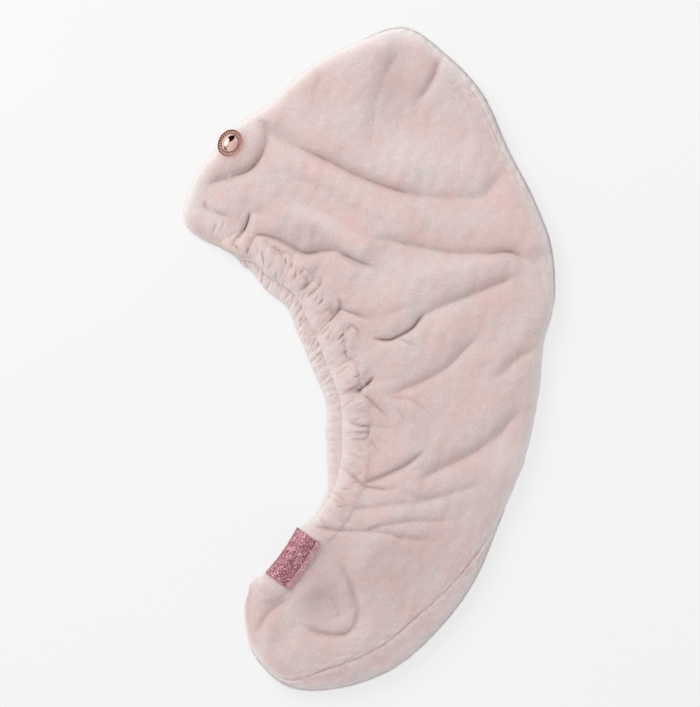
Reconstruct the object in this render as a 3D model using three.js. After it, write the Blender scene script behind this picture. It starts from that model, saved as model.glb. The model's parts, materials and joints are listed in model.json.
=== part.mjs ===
// Plush hair towel, lying flat on a table.
//
// It is a crescent-shaped bag of two panels. A seam closes it along the long outer
// curve. Along the short inner curve it is open, and each panel ends there in a
// gathered elastic hem. The back panel is two solids, the part that lies flat and the
// edge that rolls up to the seam. A domed metal button stands on the upper left lobe,
// and a label is folded over the front hem near the tail.
//
// Millimetres, +Z up. The towel lies on z = 0 with +X to the right and +Y away, and
// the origin is under the middle of its bounding box.

import * as THREE from 'three';

// Cloth and hems
const CLOTH = 2.5;                 // thickness of the plush, pile included
const GAP = 0.3;                   // clearance between pieces that touch
const CASING_WIDTH = 13;           // elastic casing, from the mouth edge to the gathers
const CASING_THICKNESS = 6;        // two plies of plush round a 1 mm elastic
const MOUTH_GAP = 6.5;             // free height between the two hems
const GATHERS = 18;                // bulges along a hem
const GATHER_DEPTH = 0.8;          // how far a bulge stands out

// Rolled outer edge
const RIM_HEIGHT = 6;              // height of the outermost line above the table
const ROLL_WIDTH = 40;             // from the outermost line in to the level top
const UNDER_WIDTH = 12;            // from the outermost line in to where it touches down
const RISE_WIDTH = 45;             // from the hem up to the full height
const END_SHARE = 0.07;            // share of the length where each end closes

// The most that each zone takes of a short section
const CASING_SHARE = 0.25;
const ROLL_SHARE = 0.6;
const UNDER_SHARE = 0.4;

// Button, a 44-line dome button
const BUTTON_X = -132;
const BUTTON_Y = 209;
const BUTTON_RADIUS = 14;
const BUTTON_HEIGHT = 5;
const BUTTON_RING_OUT = 12.4;      // reeded ring inside the outer lip
const BUTTON_RING_IN = 10;
const BUTTON_STAND_OFF = 3.8;      // height of the post between cloth and cup
const BUTTON_LEAN_X = -0.62;       // it leans over towards the edge of the towel, by so
const BUTTON_LEAN_Y = 0.33;        // much sideways for 1 upwards

// Label, folded over the edge of the front hem
const LABEL_LENGTH = 55;
const LABEL_WIDTH = 27;
const LABEL_THICKNESS = 1;
const LABEL_UNDER = 6;             // how far it reaches under the hem
const LABEL_X = -84.5;             // middle of its outer long edge
const LABEL_Y = -188;
const LABEL_TURN = -35;            // degrees from +X to the way it points, over the towel

// Grid of the cloth walls
const STEPS_PER_ROW = 3;
const TOP_STEPS = 9;               // across the level part of the front panel
const FLOOR_STEPS = 2;             // across the part that lies on the table
const FRONT_ROLL_STEPS = 4;        // round the rolled edge, down to the seam
const BACK_ROLL_STEPS = 6;         // round the rolled edge, up to the seam

// Sections from the left lobe round to the tail. Each runs from the mouth edge (hem) to
// the outermost line (rim). Peek is how far the back hem shows past the front one, inset
// is how far the seam lies inside the rim, and crown is the height of the level top.
const SECTION_COLUMNS = ['hemX', 'hemY', 'rimX', 'rimY', 'peek', 'inset', 'crown'];
const SECTIONS = [
  [-137, 106, -162, 116, 0, 0, 6],
  [-134, 104, -181, 134, 1, 0, 15],
  [-130, 101, -177, 164, 3, 0, 18],
  [-125, 98, -161, 192, 5, 0, 19],
  [-118, 97, -129, 229, 6, 0, 19],
  [-110, 93, -98, 250, 9, 0, 21],
  [-99, 82, -55, 288, 11, 0, 23],
  [-86, 74, -8, 312, 12, 0, 25],
  [-74, 65, 35, 324, 13, 1, 26],
  [-66, 53, 75, 298, 14, 3, 26],
  [-58, 37, 111, 259, 15, 4, 26],
  [-49, 22, 136, 205, 16, 3, 26],
  [-42, 6, 161, 156, 16, 1, 27],
  [-36, -10, 178, 109, 15, 0, 27],
  [-30, -25, 181, 55, 14, 0, 26],
  [-24, -45, 171, 14, 15, 0, 25],
  [-23, -70, 166, -36, 17, 0, 25],
  [-24, -99, 152, -99, 14, 0, 25],
  [-32, -130, 128, -158, 7, 1, 24],
  [-50, -155, 104, -215, 2, 14, 23],
  [-68, -169, 71, -261, 1, 23, 22],
  [-81, -187, 25, -302, 0, 25, 21],
  [-94, -204, -30, -322, 0, 21, 20],
  [-103, -212, -80, -320, 0, 6, 18],
  [-110, -216, -115, -285, 0, 0, 15],
  [-116, -220, -123, -243, 0, 0, 6],
];

// Main folds. Each is a crease from (x0, y0) past (x1, y1) to (x2, y2). The cloth on its
// left stands up by ridge over about reach, and the crease itself lies valley deep.
const FOLD_COLUMNS = ['x0', 'y0', 'x1', 'y1', 'x2', 'y2', 'ridge', 'valley', 'reach'];
const FOLDS = [
  [-160, 170, -112, 192, -100, 230, 3, 4, 12],      // below the button lobe
  [-136, 108, -121, 128, -115, 146, 2, 3, 8],       // end flap by the mouth
  [-113, 116, -70, 112, 3, 90, 3, 4, 12],           // above the hem, left
  [-97, 222, 10, 168, 135, 190, 3, 3, 16],          // long upper crease
  [-18, 119, 60, 105, 152, 98, 3, 3, 14],           // long middle crease
  [7, 18, 55, 30, 148, 88, 4, 4, 16],               // big diagonal fold
  [-20, 48, -8, 42, 7, 37, 2, 3, 10],               // short crease by the hem
  [10, -34, 60, -14, 104, 23, 3, 3, 14],            // second diagonal
  [120, -16, 142, -2, 160, 12, 2, 3, 12],           // short crease at the right edge
  [50, -118, 105, -85, 152, -44, 3, 3, 14],         // third diagonal
  [-3, -119, 20, -110, 50, -94, 3, 3, 10],          // gather crease, lower hem
  [-25, -146, 40, -140, 115, -108, 2, 2, 12],       // faint crease below it
  [-42, -166, 5, -162, 90, -154, 2, 3, 12],         // crease above the label
  [-10, -255, -14, -228, -28, -200, 3, 4, 10],      // crease beside the tail's dimple
  [-68, -258, -40, -275, 3, -265, 2, 3, 12],        // arc under the dimple
  [-105, -264, -92, -250, -79, -236, 2, 3, 10],     // trough by the tail's end
  [42, 250, 60, 270, 73, 295, 3, 3, 14],            // crease at the top
];
const DIMPLE = { x: -50, y: -243, radius: 18, depth: 4 };
const FOLD_FADE = 13;              // distance over which folds set in from a hem or a flat end

const PLUSH = { color: 0xd9b8b2, roughness: 0.95, metalness: 0 };
const GLITTER = { color: 0xb5606c, roughness: 0.5, metalness: 0.3 };
const ROSE_GOLD = { color: 0xc98672, roughness: 0.2, metalness: 1 };

const FLAT_STACK = 2 * CLOTH + GAP;

const mix = (a, b, t) => a + (b - a) * t;
const clamp01 = (t) => Math.min(Math.max(t, 0), 1);

function smooth(t) {
  const s = clamp01(t);
  return s * s * (3 - 2 * s);
}

function named(columns, row) {
  return Object.fromEntries(columns.map((column, i) => [column, row[i]]));
}

// A smooth curve through the rows of a table, read at t from 0 to 1
function readTable(rows, t) {
  const place = clamp01(t) * (rows.length - 1);
  const i = Math.min(Math.floor(place), rows.length - 2);
  const f = place - i;
  const before = rows[Math.max(i - 1, 0)];
  const after = rows[Math.min(i + 2, rows.length - 1)];
  return rows[i].map((p1, k) => {
    const p0 = before[k];
    const p2 = rows[i + 1][k];
    const p3 = after[k];
    const bend = 2 * p0 - 5 * p1 + 4 * p2 - p3 + (3 * p1 - p0 - 3 * p2 + p3) * f;
    return p1 + 0.5 * f * (p2 - p0 + bend * f);
  });
}

// The crease lines as short polylines, with the share of the length at each point
const CREASE_STEPS = 12;
const CREASES = FOLDS.map((row) => {
  const fold = named(FOLD_COLUMNS, row);
  const rows = [[fold.x0, fold.y0], [fold.x1, fold.y1], [fold.x2, fold.y2]];
  const line = [];
  for (let k = 0; k <= CREASE_STEPS; k += 1) {
    line.push(readTable(rows, k / CREASE_STEPS));
  }
  return { ...fold, line };
});

// Signed distance to a crease, positive on its right, and how far along the nearest point is
function alongCrease(line, x, y) {
  let best = { distance: Infinity, side: 1, along: 0 };
  for (let k = 0; k < line.length - 1; k += 1) {
    const [ax, ay] = line[k];
    const [bx, by] = line[k + 1];
    const ex = bx - ax;
    const ey = by - ay;
    const t = clamp01(((x - ax) * ex + (y - ay) * ey) / (ex * ex + ey * ey));
    const dx = x - ax - ex * t;
    const dy = y - ay - ey * t;
    const distance = Math.hypot(dx, dy);
    if (distance < best.distance) {
      const side = ey * dx < ex * dy ? -1 : 1;
      best = { distance, side, along: (k + t) / (line.length - 1) };
    }
  }
  return best;
}

function foldHeight(x, y) {
  const START = 0.04;              // a crease sets in a little before its first point
  const VALLEY_SHARE = 0.5;        // half width of the valley, as a share of the reach
  let height = 0;
  for (const crease of CREASES) {
    const { distance, side, along } = alongCrease(crease.line, x, y);
    const taper = Math.sqrt(Math.sin(Math.PI * mix(START, 1 - START, along)));
    const ridge = (side * distance + crease.reach) / crease.reach;
    const valley = distance / (VALLEY_SHARE * crease.reach);
    height += taper * crease.ridge * Math.exp(-ridge * ridge);
    height -= taper * crease.valley * Math.exp(-valley * valley);
  }
  const dx = (x - DIMPLE.x) / DIMPLE.radius;
  const dy = (y - DIMPLE.y) / DIMPLE.radius;
  return height - DIMPLE.depth * Math.exp(-dx * dx - dy * dy);
}

// All sizes of the section at share u of the way from the lobe to the tail
function sectionAt(u) {
  const row = named(SECTION_COLUMNS, readTable(SECTIONS, u));
  const length = Math.hypot(row.rimX - row.hemX, row.rimY - row.hemY);
  const open = smooth(Math.min(u, 1 - u) / END_SHARE);
  const casing = Math.min(CASING_WIDTH, CASING_SHARE * length);
  const cloth = length - casing;
  const wave = GATHER_DEPTH * open * Math.cos(2 * Math.PI * GATHERS * u);
  const hemHalf = mix(CLOTH, CASING_THICKNESS, open) / 2;
  const frontBottom = mix(CLOTH + GAP, CASING_THICKNESS + MOUTH_GAP, open);
  return {
    x: row.hemX,
    y: row.hemY,
    dirX: (row.rimX - row.hemX) / length,
    dirY: (row.rimY - row.hemY) / length,
    length,
    casing,
    peek: Math.max(row.peek, 0),
    inset: Math.max(row.inset, 0),
    crown: mix(FLAT_STACK, row.crown, open),
    rimHeight: mix(FLAT_STACK / 2, RIM_HEIGHT, open),
    roll: Math.min(ROLL_WIDTH, ROLL_SHARE * cloth),
    under: Math.min(UNDER_WIDTH, UNDER_SHARE * cloth),
    wave,
    hemHalf,
    frontCentre: frontBottom + hemHalf,
  };
}

const STATIONS = (SECTIONS.length - 1) * STEPS_PER_ROW;
const sections = [];
for (let i = 0; i <= STATIONS; i += 1) {
  sections.push(sectionAt(i / STATIONS));
}

function onSection(section, d, z) {
  return [section.x + section.dirX * d, section.y + section.dirY * d, z];
}

// Height of the front panel's outer face, d from the mouth edge along the section
function topHeight(section, d) {
  const junction = section.frontCentre + CLOTH / 2;
  const level = section.length - section.roll;
  const rise = Math.min(RISE_WIDTH, level - section.casing);
  const [x, y] = onSection(section, d, 0);
  const fade = smooth((d - section.casing) / FOLD_FADE) * smooth((section.crown - FLAT_STACK) / FOLD_FADE);
  const folds = foldHeight(x, y) * fade;
  if (d > level) {
    const across = (d - level) / section.roll;
    const up = Math.sqrt(Math.max(1 - across * across, 0));
    return mix(section.rimHeight, section.crown, up) + folds * up;
  }
  return mix(junction, section.crown, smooth((d - section.casing) / rise)) + folds;
}

// A point on the rolled edge. The angle is 90 degrees where the top is level, 0 on the
// outermost line and -90 where the edge touches the table.
function rolledEdge(section, angle, depth) {
  const across = Math.cos(angle);
  if (angle < 0) {
    const d = section.length - section.under + (section.under - depth) * across;
    const z = section.rimHeight + (section.rimHeight - depth) * Math.sin(angle);
    return onSection(section, d, z);
  }
  const outer = section.length - section.roll * (1 - across);
  const folds = topHeight(section, outer)
    - mix(section.rimHeight, section.crown, Math.sin(angle));
  const d = section.length - section.roll + (section.roll - depth) * across;
  const height = section.crown - section.rimHeight - depth;
  return onSection(section, d, section.rimHeight + height * Math.sin(angle) + folds);
}

// Where the seam cuts the rolled edge, and the angle that half a gap takes there
function seamAngle(section) {
  const angle = Math.acos(1 - section.inset / section.roll);
  const speed = Math.hypot(
    section.roll * Math.sin(angle),
    (section.crown - section.rimHeight) * Math.cos(angle),
  );
  return { angle, half: 0.5 * GAP / speed };
}

const steps = (count) => Array.from({ length: count + 1 }, (_, k) => k / count);

function frontLine(section, depth) {
  const start = section.casing + GAP;
  const level = section.length - section.roll;
  const { angle, half } = seamAngle(section);
  const flat = steps(TOP_STEPS).slice(0, -1).map((t) => {
    const d = mix(start, level, t);
    return onSection(section, d, topHeight(section, d) - depth);
  });
  const rolled = steps(FRONT_ROLL_STEPS).map((t) => (
    rolledEdge(section, mix(Math.PI / 2, angle + half, t), depth)
  ));
  return [...flat, ...rolled];
}

function backLine(section, depth) {
  const start = section.casing - section.peek + GAP;
  return steps(FLOOR_STEPS).map((t) => (
    onSection(section, mix(start, section.length - section.under - GAP, t), depth)
  ));
}

function backEdgeLine(section, depth) {
  const { angle, half } = seamAngle(section);
  return steps(BACK_ROLL_STEPS).map((t) => (
    rolledEdge(section, mix(-Math.PI / 2, angle - half, t), depth)
  ));
}

// Makes a closed indexed mesh and turns its faces outward
function closedMesh(points, triangles) {
  let volume = 0;
  for (const [a, b, c] of triangles) {
    const [p, q, r] = [points[a], points[b], points[c]];
    volume += p[0] * (q[1] * r[2] - q[2] * r[1]);
    volume += p[1] * (q[2] * r[0] - q[0] * r[2]);
    volume += p[2] * (q[0] * r[1] - q[1] * r[0]);
  }
  const index = volume > 0 ? triangles : triangles.map(([a, b, c]) => [a, c, b]);
  const geometry = new THREE.BufferGeometry();
  geometry.setAttribute('position', new THREE.Float32BufferAttribute(points.flat(), 3));
  geometry.setIndex(index.flat());
  return geometry;
}

// A wall between two grids of the same size
function wallGeometry(outer, inner) {
  const rows = outer.length;
  const columns = outer[0].length;
  const points = [...outer.flat(), ...inner.flat()];
  const at = (side, i, k) => side * rows * columns + i * columns + k;
  const triangles = [];
  const quad = (a, b, c, d) => triangles.push([a, b, c], [a, c, d]);
  for (let i = 0; i < rows - 1; i += 1) {
    for (let k = 0; k < columns - 1; k += 1) {
      quad(at(0, i, k), at(0, i + 1, k), at(0, i + 1, k + 1), at(0, i, k + 1));
      quad(at(1, i, k), at(1, i, k + 1), at(1, i + 1, k + 1), at(1, i + 1, k));
    }
    quad(at(0, i, 0), at(1, i, 0), at(1, i + 1, 0), at(0, i + 1, 0));
    const e = columns - 1;
    quad(at(0, i, e), at(0, i + 1, e), at(1, i + 1, e), at(1, i, e));
  }
  const e = rows - 1;
  for (let k = 0; k < columns - 1; k += 1) {
    quad(at(0, 0, k), at(0, 0, k + 1), at(1, 0, k + 1), at(1, 0, k));
    quad(at(0, e, k), at(1, e, k), at(1, e, k + 1), at(0, e, k + 1));
  }
  return closedMesh(points, triangles);
}

// A tube through rings of the same number of points
function tubeGeometry(rings) {
  const sides = rings[0].length;
  const points = rings.flat();
  const triangles = [];
  for (let i = 0; i < rings.length - 1; i += 1) {
    for (let k = 0; k < sides; k += 1) {
      const a = i * sides + k;
      const b = i * sides + (k + 1) % sides;
      triangles.push([a, b, b + sides], [a, b + sides, a + sides]);
    }
  }
  const last = (rings.length - 1) * sides;
  for (let k = 1; k < sides - 1; k += 1) {
    triangles.push([0, k + 1, k], [last, last + k, last + k + 1]);
  }
  return closedMesh(points, triangles);
}

function frontHemRing(section) {
  const half = section.casing / 2;
  const top = section.hemHalf + section.wave;
  const shape = [
    [half, 0], [half / 2, top], [-half / 2, top],
    [-half, 0], [-half / 2, -section.hemHalf], [half / 2, -section.hemHalf],
  ];
  return shape.map(([d, z]) => onSection(section, half + d, section.frontCentre + z));
}

function backHemRing(section) {
  const half = section.casing / 2;
  const top = 2 * section.hemHalf;
  const shape = [
    [half, section.hemHalf], [half / 2, top], [-half / 2, top],
    [-half, section.hemHalf], [-half / 2, 0], [half / 2, 0],
  ];
  return shape.map(([d, z]) => onSection(section, half + d - section.peek, z));
}

// The section through a point, and how far along it the point lies
const HALVINGS = 30;

function locate(x, y) {
  const ahead = (u) => {
    const section = sectionAt(u);
    return section.dirX * (y - section.y) - section.dirY * (x - section.x);
  };
  let low = 0;
  let high = 1;
  for (let i = 0; i < STATIONS; i += 1) {
    const u = i / STATIONS;
    const v = (i + 1) / STATIONS;
    const section = sectionAt(u);
    const d = section.dirX * (x - section.x) + section.dirY * (y - section.y);
    if (d > -CASING_WIDTH && ahead(u) * ahead(v) <= 0) {
      low = u;
      high = v;
      break;
    }
  }
  for (let i = 0; i < HALVINGS; i += 1) {
    const middle = (low + high) / 2;
    if (ahead(low) * ahead(middle) <= 0) {
      high = middle;
    } else {
      low = middle;
    }
  }
  const section = sectionAt(low);
  const d = section.dirX * (x - section.x) + section.dirY * (y - section.y);
  return { section, d };
}

// Height of whatever cloth lies uppermost, hem or panel
function clothHeight(x, y) {
  const { section, d } = locate(x, y);
  if (d > section.casing) {
    return topHeight(section, d);
  }
  const inside = section.casing / 2 - Math.abs(d - section.casing / 2);
  const up = clamp01(4 * inside / section.casing);
  return section.frontCentre + (section.hemHalf + GATHER_DEPTH) * up;
}

const group = new THREE.Group();

function addPiece(name, geometry, finish) {
  const mesh = new THREE.Mesh(geometry, new THREE.MeshStandardMaterial(finish));
  mesh.name = name;
  group.add(mesh);
  return mesh;
}

const wall = (line) => wallGeometry(
  sections.map((section) => line(section, 0)),
  sections.map((section) => line(section, CLOTH)),
);

addPiece('front_panel', wall(frontLine), PLUSH);
addPiece('back_panel', wall(backLine), PLUSH);
addPiece('back_panel_edge', wall(backEdgeLine), PLUSH);
addPiece('front_hem', tubeGeometry(sections.map(frontHemRing)), PLUSH);
addPiece('back_hem', tubeGeometry(sections.map(backHemRing)), PLUSH);

// The label runs under the hem, round its edge and over its top on to the panel. Reaches
// are distances from the hem's edge, square to the label.
const LABEL_STEPS = 8;
const LABEL_CLEARANCE = 1.3;
const LABEL_CORNER = 3;            // where the turn round the hem ends, above and below
const LABEL_CORNER_OUT = 0.6;      // how far the outer face's corner moves out, per mm of thickness
const LABEL_REACHES = [5.5, 9, 13, 17.5, 22, LABEL_WIDTH];

function labelLine(along, depth) {
  const turn = THREE.MathUtils.degToRad(LABEL_TURN);
  const [inX, inY] = [Math.cos(turn), Math.sin(turn)];
  const baseX = LABEL_X - inY * along;
  const baseY = LABEL_Y + inX * along;
  const { section, d } = locate(baseX, baseY);
  const place = (reach, z) => [baseX + inX * (reach - d), baseY + inY * (reach - d), z];
  const out = LABEL_THICKNESS - depth;
  const stand = LABEL_CLEARANCE + out;
  const low = section.frontCentre - section.hemHalf - stand;
  const high = section.frontCentre + section.hemHalf + GATHER_DEPTH + stand;
  const over = LABEL_REACHES.map((reach) => {
    const [x, y] = place(reach, 0);
    return place(reach, clothHeight(x, y) + stand);
  });
  return [
    place(LABEL_UNDER, low),
    place(LABEL_CORNER - LABEL_CORNER_OUT * out, low),
    place(-stand, section.frontCentre),
    place(LABEL_CORNER - LABEL_CORNER_OUT * out, high),
    ...over,
  ];
}

const labelAcross = steps(LABEL_STEPS).map((t) => (t - 0.5) * LABEL_LENGTH);
addPiece(
  'label',
  wallGeometry(
    labelAcross.map((along) => labelLine(along, 0)),
    labelAcross.map((along) => labelLine(along, LABEL_THICKNESS)),
  ),
  GLITTER,
);

// The button: a cup with its post, a ring in the cup and a dome in the ring. Profiles are
// radius and height from the back of the cup.
const BUTTON_SIDES = 32;
const POST_RADIUS = 3;
const POST_CLEARANCE = 1.2;        // the post ends just above the cloth
const CUP_FLOOR = 2.2;
const CUP_CHAMFER = 2;
const LIP = 0.4;

function turned(profile) {
  const points = profile.map(([radius, height]) => new THREE.Vector2(radius, height));
  return new THREE.LatheGeometry(points, BUTTON_SIDES).rotateX(Math.PI / 2);
}

const cupInner = BUTTON_RING_OUT + GAP;
const cupProfile = [
  [0, POST_CLEARANCE - BUTTON_STAND_OFF],
  [POST_RADIUS, POST_CLEARANCE - BUTTON_STAND_OFF],
  [POST_RADIUS, 0],
  [BUTTON_RADIUS - CUP_CHAMFER, 0],
  [BUTTON_RADIUS, 0.6 * CUP_CHAMFER],
  [BUTTON_RADIUS, BUTTON_HEIGHT - 2 * LIP],
  [BUTTON_RADIUS - LIP, BUTTON_HEIGHT],
  [cupInner, BUTTON_HEIGHT],
  [cupInner, CUP_FLOOR],
  [0, CUP_FLOOR],
];
const seat = CUP_FLOOR + GAP;
const ringTop = BUTTON_HEIGHT - LIP;
const ringProfile = [
  [BUTTON_RING_IN, seat],
  [BUTTON_RING_OUT, seat],
  [BUTTON_RING_OUT, ringTop - LIP],
  [BUTTON_RING_OUT - LIP, ringTop],
  [BUTTON_RING_IN + LIP, ringTop],
  [BUTTON_RING_IN, ringTop - LIP],
  [BUTTON_RING_IN, seat],
];
const DOME_RISE = 3;
const DOME_STEPS = 6;
const domeRadius = BUTTON_RING_IN - GAP;
const domeProfile = [[0, seat], [domeRadius, seat]];
for (let k = 0; k <= DOME_STEPS; k += 1) {
  const angle = (k / DOME_STEPS) * Math.PI / 2;
  const radius = k === DOME_STEPS ? 0 : domeRadius * Math.cos(angle);
  domeProfile.push([radius, ringTop - LIP + DOME_RISE * Math.sin(angle)]);
}

const cloth = clothHeight(BUTTON_X, BUTTON_Y);
const upright = new THREE.Vector3(BUTTON_LEAN_X, BUTTON_LEAN_Y, 1).normalize();
const button = {
  button_cup: turned(cupProfile),
  button_ring: turned(ringProfile),
  button_dome: turned(domeProfile),
};
for (const [name, geometry] of Object.entries(button)) {
  const mesh = addPiece(name, geometry, ROSE_GOLD);
  mesh.quaternion.setFromUnitVectors(new THREE.Vector3(0, 0, 1), upright);
  mesh.position.set(BUTTON_X, BUTTON_Y, cloth).addScaledVector(upright, BUTTON_STAND_OFF);
}

export default group;
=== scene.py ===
"""Looks of the plush hair towel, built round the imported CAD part.

The two panels, the two hems, the label and the button are modelled here again as fine
meshes in the places of the CAD nodes, from the same sections. Sizes are millimetres until
a mesh is made. The towel lies on z = 0 with +X to the right and +Y away.
"""

import json
import math
from types import SimpleNamespace

import bpy
import numpy as np
from bpy.props import FloatProperty, IntProperty, PointerProperty
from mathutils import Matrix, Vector
from mathutils.bvhtree import BVHTree

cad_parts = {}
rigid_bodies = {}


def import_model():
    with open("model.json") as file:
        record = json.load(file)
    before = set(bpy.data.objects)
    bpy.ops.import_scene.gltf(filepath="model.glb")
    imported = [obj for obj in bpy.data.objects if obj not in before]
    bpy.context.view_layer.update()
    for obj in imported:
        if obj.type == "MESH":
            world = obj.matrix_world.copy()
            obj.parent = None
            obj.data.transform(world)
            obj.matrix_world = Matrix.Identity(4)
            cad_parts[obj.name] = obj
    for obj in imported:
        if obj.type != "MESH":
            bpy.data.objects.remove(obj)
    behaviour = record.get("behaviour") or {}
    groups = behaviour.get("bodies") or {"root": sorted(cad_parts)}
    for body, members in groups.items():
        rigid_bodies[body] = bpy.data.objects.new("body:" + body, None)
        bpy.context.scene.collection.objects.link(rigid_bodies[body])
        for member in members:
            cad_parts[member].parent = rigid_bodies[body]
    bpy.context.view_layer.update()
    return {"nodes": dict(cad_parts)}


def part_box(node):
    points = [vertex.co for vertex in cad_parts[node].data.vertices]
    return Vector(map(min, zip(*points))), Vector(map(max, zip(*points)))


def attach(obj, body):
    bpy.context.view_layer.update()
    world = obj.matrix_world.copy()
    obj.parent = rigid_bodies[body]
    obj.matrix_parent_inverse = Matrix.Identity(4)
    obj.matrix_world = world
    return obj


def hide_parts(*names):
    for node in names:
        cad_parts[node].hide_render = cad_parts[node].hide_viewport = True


bl_info = {
    "name": "Plush hair towel",
    "version": (1, 0, 0),
    "blender": (4, 5, 0),
    "location": "View3D > Sidebar > Towel",
    "description": "Builds the plush panels, gathered hems, label and button of a hair towel",
    "category": "Object",
}

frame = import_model()

MM = 0.001

# Cloth and edges, as in the CAD part. The hems are drawn wider, as the gathered cloth
# hides the elastic casings inside them.
CLOTH = 2.5
GAP = 0.3
CASING_WIDTH = 28
CASING_THICKNESS = 6
HEM_STAND_OUT = 2.5                # how far the gathered cloth stands out past the casing
MOUTH_GAP = 6.5
RIM_HEIGHT = 6
ROLL_WIDTH = 40
UNDER_WIDTH = 12
RISE_WIDTH = 45
END_SHARE = 0.07
SHUT_SHARE = 0.008                 # where the two panels round off and close at each end
CASING_SHARE = 0.25
ROLL_SHARE = 0.6
UNDER_SHARE = 0.4
FLAT_STACK = 2 * CLOTH + GAP

# Sections from the left lobe round to the tail, from the mouth edge (hem) to the
# outermost line (rim). Peek is how far the back hem shows past the front one, inset is
# how far the seam lies inside the rim, and crown is the height of the level top.
SECTION_COLUMNS = ("hem_x", "hem_y", "rim_x", "rim_y", "peek", "inset", "crown")
SECTIONS = np.array([
    (-137, 106, -162, 116, 0, 0, 6),
    (-134, 104, -181, 134, 1, 0, 15),
    (-130, 101, -177, 164, 3, 0, 18),
    (-125, 98, -161, 192, 5, 0, 19),
    (-118, 97, -129, 229, 6, 0, 19),
    (-110, 93, -98, 250, 9, 0, 21),
    (-99, 82, -55, 288, 11, 0, 23),
    (-86, 74, -8, 312, 12, 0, 25),
    (-74, 65, 35, 324, 13, 2, 26),
    (-66, 53, 75, 298, 14, 6, 26),
    (-58, 37, 111, 259, 15, 7, 26),
    (-49, 22, 136, 205, 16, 6, 26),
    (-42, 6, 161, 156, 16, 4, 27),
    (-36, -10, 178, 109, 15, 2, 27),
    (-30, -25, 181, 55, 14, 0, 26),
    (-24, -45, 171, 14, 15, 0, 25),
    (-23, -70, 166, -36, 17, 0, 25),
    (-24, -99, 152, -99, 14, 0, 25),
    (-32, -130, 128, -158, 7, 1, 24),
    (-50, -155, 104, -215, 2, 14, 23),
    (-68, -169, 71, -261, 1, 23, 22),
    (-81, -187, 25, -302, 0, 25, 21),
    (-94, -204, -30, -322, 0, 21, 20),
    (-103, -212, -80, -320, 0, 6, 18),
    (-110, -216, -115, -285, 0, 0, 15),
    (-116, -220, -123, -243, 0, 0, 6),
], dtype=float)

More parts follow.
